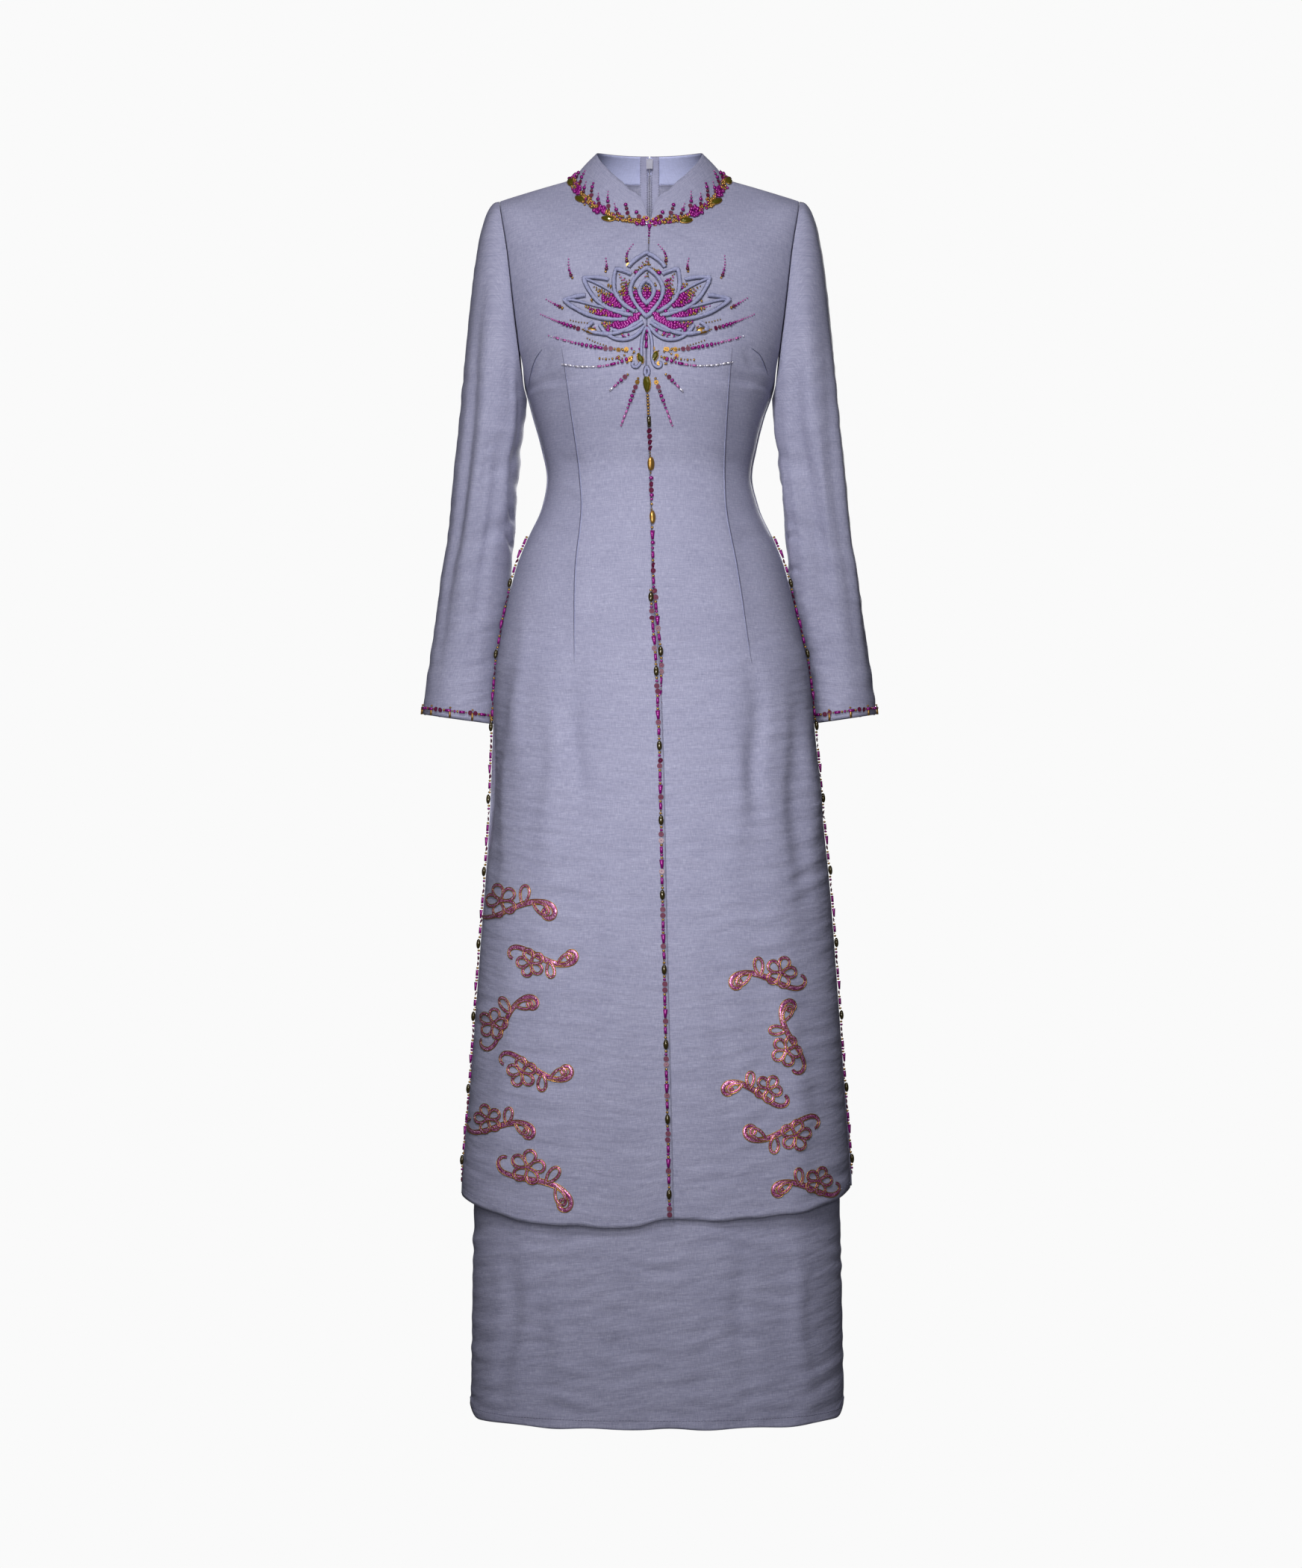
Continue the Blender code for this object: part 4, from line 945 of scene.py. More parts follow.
def sleeve(side):
    rings = np.concatenate([[0, 0.02, 0.05, 0.09], spread((0.15, CAP_RINGS + ARM_RINGS, 150))])
    cloth = Cloth(sleeve_of(side), np.linspace(0, 1, 97), rings, -side, ring=True)
    z, turn = cloth.points[..., 2], 2 * PI * ((cloth.u + 0.5) % 1.0)
    relief = groove(cloth.down - cloth.down[:1])
    around = (-2 * PI, 0, 2 * PI)
    creases = SLEEVE_CREASES[side]
    folds = sum(folds_at(creases, turn + whole, z, width_scale=1 / ARM_RADIUS) for whole in around)
    relief = relief + 1.2 * folds * step(0, 1.2, cloth.row)
    aside = ARM_RADIUS * np.cos(turn)
    slant = z + 0.3 * side * aside
    cross = np.sin(slant / 5.2 + 1.7 * np.sin(turn * 2)) * np.sin(slant / 23 + np.sin(turn))
    relief = relief + (0.22 * cross + 0.5 * crinkles(aside, z, side, 0.2 * side)) * step(1, 3, cloth.row)
    cloth.raise_by(relief)
    dress(cloth, f"sleeve_{SIDES[side]}")


def collar(side):
    turns = spread((0, 0.92, 80), (0.92, 1, 24))
    cloth = Cloth(lambda u, v: collar_place(side, PI * u, v), turns, np.linspace(1, -0.035, 15), -side)
    # The weave is counted along the middle row, so that it isn't sheared at the corners
    cloth.across = np.repeat(cloth.across[7:8], len(cloth.rows), axis=0)
    cloth.down = cloth.down - cloth.down[:1]
    dress(cloth, f"collar_{SIDES[side]}", COLLAR_WALL, facing)


for each_side in (LEFT, RIGHT):
    panel(FRONT, each_side)
    panel(BACK, each_side)
under_flap()
for each_side in (LEFT, RIGHT):
    sleeve(each_side)
    collar(each_side)


# ---------------------------------------------------------------- places on the cloth


def reader(*pieces, from_y=-400.0):
    """A reader of what shows from one side: at(x, z) gives the first point along +Y, and the way out."""
    points, faces = [], []
    for piece in pieces:
        first = len(points)
        points += (points_of(piece.data) / MM).tolist()
        faces += [[first + k for k in face.vertices] for face in piece.data.polygons]
    tree = BVHTree.FromPolygons(points, faces)

    def at(x, z):
        for aside in (0.0, -0.7, 0.7, -1.6, 1.6):
            place, way, _, _ = tree.ray_cast(Vector((x + aside, from_y, z)), Vector((0, 1, 0)))
            if place is not None and abs(way.y) > 0.15:
                return np.array((x, place.y, z)), np.array(way if way.y < 0 else -way)
        return None

    return at


front = reader(sheets["front_left"], sheets["front_right"])
neckline = reader(*(sheets[name] for name in ("front_left", "front_right", "collar_left", "collar_right")))


def curve(controls, count=60):
    """Points along a smooth curve that starts and ends at the outer controls and bends towards the others."""
    controls = np.array(controls, float)
    t = np.linspace(0, 1, count)[:, None]
    n = len(controls) - 1
    return sum(math.comb(n, k) * t**k * (1 - t) ** (n - k) * point for k, point in enumerate(controls))


def route_of(spots):
    """A route from spots on the cloth: its points, and the ways out of it. Missed spots are left out."""
    spots = [spot for spot in spots if spot]
    return np.array([spot[0] for spot in spots]), np.array([spot[1] for spot in spots])


def on_front(path):
    """A route over the fronts along a path of x and z."""
    return route_of(front(x, z) for x, z in path)


def on_piece(place, u, v, outward):
    """A route over a piece: its points and ways out at arrays of places across and down."""
    points = place(u, v)
    across, down = place(u + 1e-4, v) - points, place(u, v + 1e-3) - points
    return points, unit(np.cross(down, across) * outward)


def read(rows, reach, at):
    """A row's value at a length along its route."""
    return np.array([np.interp(at, reach, rows[:, k]) for k in range(3)])


def leaning(turned):
    """The way that leans from upright towards +X by an angle."""
    return np.array([math.sin(turned), 0, math.cos(turned)])


# ---------------------------------------------------------------- joined small things


class Joined:
    """Small things of one piece of work, joined into one mesh: each has its points, faces and finish."""

    def __init__(self, name):
        self.name = name
        self.points, self.sizes, self.corners, self.finish, self.smooth = [], [], [], [], []
        self.finishes, self.count = [], 0

    def add(self, points, faces, finish, smooth=True):
        """points is one thing, or an array of several with the same faces."""
        points = np.asarray(points, float)
        points = points.reshape(-1, points.shape[-2], 3)
        copies, each = points.shape[:2]
        if finish not in self.finishes:
            self.finishes.append(finish)
        corners = np.concatenate([np.array(face) for face in faces])
        starts = self.count + each * np.arange(copies)
        self.corners.append((starts[:, None] + corners).ravel())
        self.sizes.append(np.tile([len(face) for face in faces], copies))
        self.points.append(points.reshape(-1, 3))
        self.finish.append(np.full(copies * len(faces), self.finishes.index(finish)))
        self.smooth.append(np.full(copies * len(faces), smooth))
        self.count += copies * each

    def make(self, slot, *nodes):
        mesh = bpy.data.meshes.new(self.name)
        points, corners = np.concatenate(self.points) * MM, np.concatenate(self.corners)
        sizes = np.concatenate(self.sizes)
        mesh.vertices.add(len(points))
        mesh.vertices.foreach_set("co", points.astype(np.float32).ravel())
        mesh.loops.add(len(corners))
        mesh.loops.foreach_set("vertex_index", corners.astype(np.int32))
        mesh.polygons.add(len(sizes))
        mesh.polygons.foreach_set("loop_start", np.concatenate([[0], np.cumsum(sizes)[:-1]]).astype(np.int32))
        for finish in self.finishes:
            mesh.materials.append(finish)
        mesh.polygons.foreach_set("material_index", np.concatenate(self.finish).astype(np.int32))
        mesh.polygons.foreach_set("use_smooth", np.concatenate(self.smooth).astype(bool))
        mesh.update(calc_edges=True)
        mesh.validate()
        piece = bpy.data.objects.new(self.name, mesh)
        bpy.context.scene.collection.objects.link(piece)
        ride(piece, slot, *nodes)


def model(primitive, smooth=True, adjust=None, **sizes):
    """The points and faces of one of Blender's solids, which is removed again, and whether it is smooth."""
    primitive(**sizes)
    piece = bpy.context.object
    points = points_of(piece.data).astype(float)
    faces = [tuple(face.vertices) for face in piece.data.polygons]
    bpy.data.objects.remove(piece)
    return adjust(points) if adjust else points, faces, smooth


def lie_flat(points):
    """Turns the Z axis to X, the way along the thread."""
    return points[:, [2, 0, 1]]


def dimple(points):
    """Draws the ends of a bead in round its hole."""
    points[np.abs(points[:, 2]) > 0.49, 2] *= 0.7
    return lie_flat(points)


def taper(points):
    points[points[:, 2] > 0, :2] *= 0.5
    return lie_flat(points)


deselect()
solid = bpy.ops.mesh
# Each kind of bead, modelled once at unit size: X along its thread, Z out of the cloth
SHAPES = {
    "seed": model(solid.primitive_uv_sphere_add, True, dimple, segments=8, ring_count=5, radius=0.5),
    "oval": model(solid.primitive_uv_sphere_add, True, lie_flat, segments=10, ring_count=7, radius=0.5),
    "bugle": model(solid.primitive_cylinder_add, True, lie_flat, vertices=7, radius=0.5, depth=1.0),
    "drop": model(solid.primitive_cylinder_add, True, taper, vertices=7, radius=0.5, depth=1.0),
    "sequin": model(solid.primitive_cone_add, False, vertices=9, radius1=0.26, radius2=0.5, depth=0.5),
}

# Beads by name: shape, finish, length along the thread, width, height
BEADS = {
    "gold dot": ("seed", "bronze", 1.6, 1.7, 1.4),
    "gold seed": ("seed", "gilt", 2.3, 2.7, 2.3),
    "gold bead": ("seed", "gilt", 2.8, 3.2, 2.8),
    "gold bugle": ("bugle", "gilt", 6.5, 2.0, 1.9),
    "gold sequin": ("sequin", "pale_gilt", 4.8, 4.8, 1.5),
    "gold oval": ("oval", "gilt", 12.5, 6.6, 4.2),
    "gold tube": ("oval", "gilt", 12.0, 5.6, 4.4),
    "magenta bead": ("seed", "magenta", 3.8, 4.2, 3.4),
    "magenta seed": ("seed", "magenta", 2.5, 2.8, 2.4),
    "magenta bugle": ("bugle", "magenta", 5.6, 2.8, 2.4),
    "magenta drop": ("drop", "magenta", 7.6, 4.4, 3.2),
    "maroon sequin": ("sequin", "maroon", 4.8, 4.8, 1.8),
    "maroon bead": ("seed", "maroon", 3.4, 3.8, 3.2),
    "maroon dot": ("seed", "magenta", 1.3, 1.3, 1.2),
    "pink seed": ("seed", "pink", 1.9, 2.1, 1.8),
    "pink bugle": ("bugle", "pink", 4.0, 2.2, 1.9),
    "pink dot": ("seed", "pink", 1.6, 1.6, 1.4),
    "silver bugle": ("bugle", "silver", 4.4, 2.0, 1.8),
    "silver seed": ("seed", "silver", 1.8, 1.8, 1.6),
    "black oval": ("oval", "black", 9.0, 4.8, 3.8),
    "black bugle": ("bugle", "black", 9.0, 3.6, 3.2),
}
BEAD_GAP = 0.35
SEQUIN_TILT = 0.16


def threaded(text):
    """A row of beads in words: '3 pink seed' is three of them, and a number alone is a gap in millimetres."""
    row = []
    for item in filter(None, (part.strip() for part in text.split(","))):
        first, _, rest = item.partition(" ")
        row += [float(first)] if not rest else [rest] * int(first) if first.isdigit() else [item]
    return row


class Beadwork:
    """Beads laid on cloth, gathered by kind and joined into one mesh."""

    def __init__(self, name):
        self.name, self.laid = name, {}

    def lay(self, name, place, way, along, scale=1.0, lift=0.0):
        shape, finish, length, width, height = BEADS[name]
        along = along - way * np.dot(along, way)
        if shape == "sequin":
            # Sequins hang a little askew, so that only some of them catch the light
            way = unit(way + draw.normal(0, SEQUIN_TILT, 3))
            along = along - way * np.dot(along, way)
        along = unit(along)
        middle = place + way * (height * scale / 2 + 0.15 + lift)
        axes = np.stack([along * length, np.cross(way, along) * width, way * height]) * scale
        self.laid.setdefault((shape, finish), []).append((axes, middle))
        if shape == "sequin":
            pip = "maroon dot" if finish == "maroon" else "gold dot"
            self.lay(pip, place, way, along, 0.6 * scale, 1.35 * scale)

    def run(self, route, row, scale=1.0, jitter=0.0):
        """Threads beads end to end along a route, until the row or the route runs out."""
        points, ways = route
        reach, at = run_length(points), 0.0
        for name in row:
            if name not in BEADS:
                at += name
                continue
            length = BEADS[name][2] * scale
            middle = at + length / 2
            if middle > reach[-1]:
                break
            place, way = read(points, reach, middle), unit(read(ways, reach, middle))
            along = read(points, reach, middle + 1) - read(points, reach, middle - 1)
            off = np.cross(way, unit(along)) * (draw.random() - 0.5) * jitter
            along = along + np.cross(way, along) * (draw.random() - 0.5) * jitter * 0.3
            self.lay(name, place + off, way, along, scale)
            at += length + BEAD_GAP

    def make(self):
        joined = Joined(self.name)
        for (shape, finish), laid in self.laid.items():
            points, faces, smooth = SHAPES[shape]
            axes, middles = (np.array(column) for column in zip(*laid))
            placed = np.einsum("vk,nkc->nvc", points, axes) + middles[:, None, :]
            joined.add(placed, faces, FINISHES[finish], smooth)
        joined.make("cut_glass")


draw = np.random.default_rng(41)


def tube(points, ways, radius, sides=8, flat=1.0, ends=0.35):
    """A cord along a route: its points and faces, drawn in at both ends."""
    along = unit(np.gradient(points, axis=0))
    aside = unit(np.cross(along, ways))
    out = np.cross(aside, along)
    count = len(points)
    radius = np.broadcast_to(radius, count).copy()
    radius[[0, -1]] *= ends
    angle = 2 * PI * np.arange(sides)[None, :, None] / sides
    ring = aside[:, None] * np.cos(angle) + flat * out[:, None] * np.sin(angle)
    rings = points[:, None] + radius[:, None, None] * ring
    faces = []
    for k in range(count - 1):
        for j in range(sides):
            a, b = k * sides + j, k * sides + (j + 1) % sides
            faces.append((a, b, b + sides, a + sides))
    faces.append(tuple(range(sides)))
    faces.append(tuple(range(count * sides - 1, (count - 1) * sides - 1, -1)))
    return rings.reshape(-1, 3), faces


# ---------------------------------------------------------------- lotus

CORD_RADIUS, CORD_GAP = 2.3, 0.9
# Cords are drawn a little slimmer than their solids, with their sewing along each side drawn as a dark line of
# painted shade
CORD_SLIMMER, CORD_SHADE_LINE_RADIUS = 0.95, 0.42
LOTUS_BASE = (-3.0, -173.0)
# The lotus petals from front to back: the lean from upright, where each starts and ends, and its half width.
PETALS = (
    # lean  foot  tip  half_width
    (0,    15,  44,  8.0),
    (0,     0,  58, 18.0),
    (31,    0,  66, 15.5),
    (-31,   0,  66, 15.5),
    (0,    18,  76, 23.0),
    (56,    0,  84, 15.0),
    (-56,   0,  84, 15.0),
    (76,    0,  94, 12.5),
    (-76,   0,  94, 12.5),
    (100,   2,  68, 11.0),
    (-100,  2,  68, 11.0),
)
PETAL_SAMPLES, PETAL_BEAD_SCALE = 260, 1.18
# What fills a petal: how far up it each mix of beads reaches, the beads, and how far apart they lie
PETAL_FILLING = (
    (0.46, ("magenta bead",), 3.1),
    (0.58, ("magenta bead", "magenta seed", "gold seed"), 3.0),
    (0.72, ("gold seed", "gold seed", "magenta seed", "gold dot"), 3.1),
    (math.inf, ("gold dot", "pink dot", "gold dot"), 3.8),
)
# Cords beyond the petals' outlines, drawn for the right and mirrored: the turned-over edges of the outer
# petals, the sepals under the flower, and the twig with its loop and curls. Bends from the base, then radius.
EXTRA_CORDS = (
    ([(24, 8), (46, 11), (68, 16), (84, 27), (91, 21)], 1.5),
    ([(30, 24), (50, 39), (62, 44), (70, 47)], 1.5),
    ([(3, -9), (9, -21), (20, -29), (34, -28), (46, -20), (52, -7)], 2.0),
    ([(4, -5), (14, -14), (27, -18), (38, -13)], 1.8),
    ([
        (0.6, -10), (5, -19), (8.5, -30), (7, -40), (2.2, -48), (4, -56), (11, -60), (18, -57), (18, -50),
        (13.5, -50),
    ], 1.6),
    ([(0.4, -54), (4.5, -60), (0.4, -66)], 1.5),
)


def from_base(side, x, z):
    return LOTUS_BASE[0] + side * x, LOTUS_BASE[1] + z


def petal_point(lean, foot, tip, along, aside):
    """A place on a petal: along from its foot to its tip, and aside in millimetres."""
    lean = math.radians(lean)
    reach = foot + (tip - foot) * along
    x = LOTUS_BASE[0] + reach * np.sin(lean) + aside * np.cos(lean)
    return np.stack([x, LOTUS_BASE[1] + reach * np.cos(lean) - aside * np.sin(lean)], axis=-1)


def petal_half(half_width, along):
    return half_width * np.sin(PI * np.clip(along, 0, 1) ** 1.15) ** 0.85


def petal_outline(lean, foot, tip, half_width):
    t = 2 * np.arange(PETAL_SAMPLES + 1) / PETAL_SAMPLES
    up = np.where(t <= 1, t, 2 - t)
    return petal_point(lean, foot, tip, up, np.where(t <= 1, -1, 1) * petal_half(half_width, up))


def inside_outline(point, outline):
    x, z = point
    x1, z1 = outline.T
    x2, z2 = np.roll(outline, -1, axis=0).T
    rise = np.where(z2 == z1, 1.0, z2 - z1)
    crossed = ((z1 > z) != (z2 > z)) & (x < x1 + (z - z1) * (x2 - x1) / rise)
    return bool(np.count_nonzero(crossed) % 2)


def lotus_cords():
    """The stretch of each petal's outline that shows past the petals before it."""
    apart = 2 * CORD_RADIUS + CORD_GAP
    laid, outlines, cords = np.empty((0, 2)), [], []
    for petal in PETALS:
        outline = petal_outline(*petal)
        runs, stretch = [], []
        for point in outline:
            free = not len(laid) or np.hypot(*(laid - point).T).min() > apart
            if free and not any(inside_outline(point, other) for other in outlines):
                stretch.append(point)
            elif stretch:
                runs.append(stretch)
                stretch = []
        longest = np.array(max(runs + [stretch], key=len))
        laid = np.concatenate([laid, longest])
        outlines.append(outline)
        cords.append(longest)
    return cords, outlines, laid


def lay_cord(joined, points, ways, radius, swell, sink, sides, flat):
    """A padded cord on the cloth, and its sewing on both sides where it meets the cloth, drawn dark as painted
    shade.
    """
    joined.add(*tube(points, ways, radius * swell, sides, flat), bias)
    across = np.cross(ways, unit(np.gradient(points - ways * sink, axis=0)))
    # Each side line is painted shade, in the thread painted dark as shade
    for side in (LEFT, RIGHT):
        line = points - ways * sink + across * (radius + 0.1) * side
        joined.add(*tube(line, ways, CORD_SHADE_LINE_RADIUS, 5, 0.8), dark_thread)


def lotus():
    cords, outlines, laid = lotus_cords()
    joined = Joined("lotus_padded_cords")
    for number, path in enumerate(cords):
        points, ways = on_front(path[:: max(1, len(path) // 90)])
        at = np.arange(len(points))
        swell = 1 + 0.13 * np.sin(at * 0.21 + number) + 0.06 * np.sin(at * 0.9)
        radius = CORD_RADIUS * CORD_SLIMMER
        points = points + ways * (CORD_RADIUS + 0.35)
        lay_cord(joined, points, ways, radius, swell, CORD_RADIUS + 0.2, 10, 0.92)
    for bends, radius in EXTRA_CORDS:
        for side in (LEFT, RIGHT):
            path = curve([from_base(side, x, z) for x, z in bends])
            points, ways = on_front(path)
            lay_cord(joined, points + ways * (radius + 0.1), ways, radius, 1, radius - 0.05, 8, 0.95)
            laid = np.concatenate([laid, path])
    joined.make("padded_cord", *[f"lotus_petal_{number + 1}" for number in range(len(PETALS))])
    return outlines, laid


def fill_petals(outlines, laid):
    """Beads in each petal: magenta at its foot, then gold and rose, then dots that thin out to its tip."""
    work = Beadwork("lotus_petal_beads")
    for number, (lean, foot, tip, half_width) in enumerate(PETALS):
        lines = max(3, int(half_width / 1.75))
        for line in range(-lines, lines + 1):
            share = line / (lines + 0.6)
            along = 0.10 + 0.03 * draw.random()
            end = 0.93 - 0.35 * abs(share) - 0.12 * draw.random()
            while along < end:
                point = petal_point(lean, foot, tip, along, share * petal_half(half_width, along))
                level = along + 0.18 * (draw.random() - 0.5)
                mix, stride = next((mix, stride) for top, mix, stride in PETAL_FILLING if level < top)
                name = str(draw.choice(mix)) if len(mix) > 1 else mix[0]
                covered = any(inside_outline(point, outlines[k]) for k in range(number))
                beside_cord = np.hypot(*(laid - point).T).min() < CORD_RADIUS + 0.8
                spot = None if covered or beside_cord else front(*point)
                if spot:
                    turned = math.radians(lean) + 0.6 * (draw.random() - 0.5)
                    work.lay(name, *spot, leaning(turned), PETAL_BEAD_SCALE)
                along += stride / (tip - foot)
    work.make()


RAY_DRIFT, RAY_BEAD_SCALE = 3.0, 1.12
SEPAL_BEADS = ("magenta bead", "gold seed", "magenta seed", "magenta bead", "pink seed", "gold dot")
# Rays from the lotus, drawn for the right and mirrored: start, bends and end from its base, then the beads
RAYS = (
    ([(54, -15), (70, -14), (96, -4), (124, 13)], """gold oval, gold seed, gold dot, 1, maroon sequin,
        maroon bead, 3 magenta bead, 2 magenta seed, 4 pink seed, pink dot, 0.8, pink dot, 1, pink dot, 1.2,
        pink dot, 1.2, pink dot, 1.4, pink dot"""),
    ([(20, -35), (48, -37), (80, -28), (110, -16)], """gold sequin, gold seed, gold sequin, gold seed,
        2 maroon sequin, magenta bugle, 2 magenta bead, 0.6, magenta bead, 0.6, magenta bead, 0.6, magenta seed,
        0.8, magenta seed, 1, pink bugle, 1, pink seed, 1.2, pink bugle, 1.2, pink dot, 1.5, pink bugle, 1.5,
        pink dot, 1.5, silver seed, 1.5, pink dot, 1.5, silver seed"""),
    ([(15, -43), (36, -55), (64, -57), (96, -48)], """2 gold seed, magenta bead, 0.8, magenta bead,
        0.8, magenta seed, 0.8, magenta bugle, 0.8, pink bugle, 0.8, pink seed, 0.8, pink bugle, silver seed,
        silver bugle, silver seed, 2 silver bugle, 0.6, silver bugle, 0.6, silver seed, 0.6, silver bugle, 0.6,
        silver bugle, 0.6, silver seed, 0.6, silver bugle"""),
    ([(44, -31), (56, -28), (66, -22)], "gold dot, 1, gold dot, 1.4, " * 9),
    ([(26, -45), (42, -47), (54, -45)], "gold dot, 1, gold seed, 1.2, " * 9),
    ([(58, -5), (70, -5), (84, 1)], "gold dot, 1.2, gold dot, 1.4, " * 9),
    ([(9, -66), (15, -84), (28, -118)], """gold seed, gold sequin, maroon sequin, maroon bead, 0.8,
        magenta bead, 0.8, magenta bead, 0.8, magenta seed, 1, magenta seed, 1, pink bugle, 1, pink bugle, 1,
        pink bugle, 1, pink seed, 0.8, silver bugle, 0.8, silver seed, silver bugle"""),
    ([(20, -62), (29, -71), (39, -81)], """gold seed, maroon sequin, magenta bead, 0.6, magenta seed,
        0.6, pink bugle, 0.8, silver bugle, silver seed"""),
    ([(92, 13), (102, 19), (116, 29)], """gold bead, maroon bead, magenta seed, 0.6, magenta seed,
        0.8, pink seed, 1, pink seed, 1.2, pink dot, 1.5, pink dot"""),
    ([(82, 47), (88, 58), (86, 74)], """gold seed, maroon bead, magenta seed, 0.6, magenta seed, 0.8,
        pink seed, 1, pink seed, 1.2, pink dot, 1.6, pink dot, 1.8, pink dot"""),
    ([(46, 53), (44, 60), (47, 71)], """gold seed, maroon bead, magenta seed, 0.6, pink seed, 1,
        pink seed, 1.2, pink dot, 1.6, pink dot"""),
    ([(19, 60), (27, 72), (14, 86)], """gold sequin, maroon bead, gold seed, magenta seed, 0.6,
        magenta seed, 0.8, pink seed, 1, pink seed, 1.2, pink dot, 1.4, pink dot, 1.4, pink dot"""),
)


def rays():
    work = Beadwork("lotus_ray_beads")
    for bends, beads in RAYS:
        for side in (LEFT, RIGHT):
            drift = (draw.random(2) - 0.5) * RAY_DRIFT
            path = curve([from_base(side, x, z) for x, z in bends])
            path = path + np.linspace(0, 1, len(path))[:, None] * drift
            work.run(on_front(path), threaded(beads), RAY_BEAD_SCALE, jitter=0.35)
    # Beads between the sepals, loose gold round the twig, and magenta drops inside its loop
    for side in (LEFT, RIGHT):
        for k in range(46):
            t = draw.random()
            low = -29 + 20 * abs(t - 0.45) ** 1.4
            point = from_base(side, 8 + 38 * t, low + 3.4 + (draw.random() * (10.5 - 6 * t)))
            if np.hypot(*(cord_points - point).T).min() >= 3.2:
                work.lay(SEPAL_BEADS[k % len(SEPAL_BEADS)], *front(*point), np.array([1.0, 0, -0.3 * side]))
        for _ in range(30):
            x, z = 7 + 26 * draw.random() ** 1.5, -34 - 18 * draw.random()
            name = str(draw.choice(["gold seed", "gold bead", "gold sequin", "gold dot", "magenta seed"]))
            turned = draw.random() * PI
            if math.hypot(x - 8, z + 44) >= 8:
                work.lay(name, *front(*from_base(side, x, z)), leaning(PI / 2 - turned))
    for down in (13.0, 21.5, 30.0):
        work.lay("magenta drop", *front(*from_base(LEFT, 0, -down)), leaning(0))
    work.make()


petal_outlines, cord_points = lotus()
fill_petals(petal_outlines, cord_points)
rays()


# ---------------------------------------------------------------- cut stones

NECK_STONE_BELOW = 4.2
NECK_STONES = (-82, -60, -31, 27, 57, 84)
# Stones under the lotus: x, z, turn from upright, length, width
CHEST_STONES = (
    (-10.0, -218.5, -24, 12.0, 6.5),
    (6.0, -216.0, 24, 12.0, 6.5),
    (-2.5, -245.5, 0, 19.0, 9.0),
)
NECK_STONE_SIZE = (15.0, 7.5)
STONE_HEIGHT, STONE_GAP = 3.6, 0.5
SETTING_UP, SETTING_RADIUS = 0.9, 0.55
STONE_SIDES = 12
# Levels of a cut stone from its back to its table: height, size
STONE_LEVELS = ((0.0, 0.55), (0.34, 1.0), (0.46, 1.0), (0.78, 0.78), (1.0, 0.46))


def marquise(size):
    """A pointed oval of unit length and width."""
    turn = 2 * PI * (np.arange(STONE_SIDES) + 0.5 * (size < 0.8)) / STONE_SIDES
    return np.stack([np.cos(turn), np.sign(np.sin(turn)) * np.abs(np.sin(turn)) ** 1.35], axis=-1) * size / 2


def cut_stone():
    points = np.array([[*spot, height] for height, size in STONE_LEVELS for spot in marquise(size)])
    faces = [tuple(range(STONE_SIDES))[::-1]]
    for a in range(0, len(points) - STONE_SIDES, STONE_SIDES):
        for k in range(STONE_SIDES):
            b = (k + 1) % STONE_SIDES
            faces += [(a + k, a + b, a + STONE_SIDES + k), (a + b, a + STONE_SIDES + b, a + STONE_SIDES + k)]
    return points, faces + [tuple(range(len(points) - STONE_SIDES, len(points)))]


def neck_stone(angle):
    """A stone just below the neck seam: its place, how far it turns from upright, and its size."""
    turn = math.radians(angle)
    x = (NECK_HALF_WIDTH + NECK_STONE_BELOW) * math.sin(turn)
    seam = neck_seam(FRONT, abs(turn))
    drop = NECK_SEAM_TOP - float(neck_seam(FRONT, 0.0)[2])
    tangent = math.degrees(math.atan2(math.cos(turn) * NECK_HALF_WIDTH, math.sin(turn) * drop))
    return x, float(seam[2]) - NECK_STONE_BELOW * math.cos(turn), tangent, *NECK_STONE_SIZE


def stones():
    joined = Joined("cut_glass_stones")
    points, faces = cut_stone()
    rim = np.array([[*spot, 0.0] for spot in marquise(1.0)])
    rim = np.concatenate([rim, rim[:1]])
    for x, z, turned, length, width in [*CHEST_STONES, *map(neck_stone, NECK_STONES)]:
        place, way = front(x, z)
        up = leaning(math.radians(turned))
        up = unit(up - way * up.dot(way))
        axes = np.stack([up * length, np.cross(way, up) * width, way * STONE_HEIGHT])
        joined.add(points @ axes + place + way * STONE_GAP, faces, FINISHES["olive"], False)
        # A thin gilt setting round the stone
        setting = rim @ axes * 1.03 + place + way * (STONE_GAP + SETTING_UP)
        joined.add(*tube(setting, np.tile(way, (len(rim), 1)), SETTING_RADIUS, 6, 1.0, 1.0), FINISHES["gilt"])
    names = [f"stone_chest_{k + 1}" for k in range(len(CHEST_STONES))]
    joined.make("cut_glass", *names, *[f"stone_neck_{k + 1}" for k in range(len(NECK_STONES))])


stones()


# ---------------------------------------------------------------- neck band

# One radian round the neck seam, and one height of the collar, in millimetres
NECK_RADIUS, COLLAR_HEIGHT = 80.0, 42.0
BAND_STRIDE, BAND_WIDTH = 2.2, 12.5
# The band is full in front as far as this turn, and narrow behind
BAND_FULL_TO = 1.75
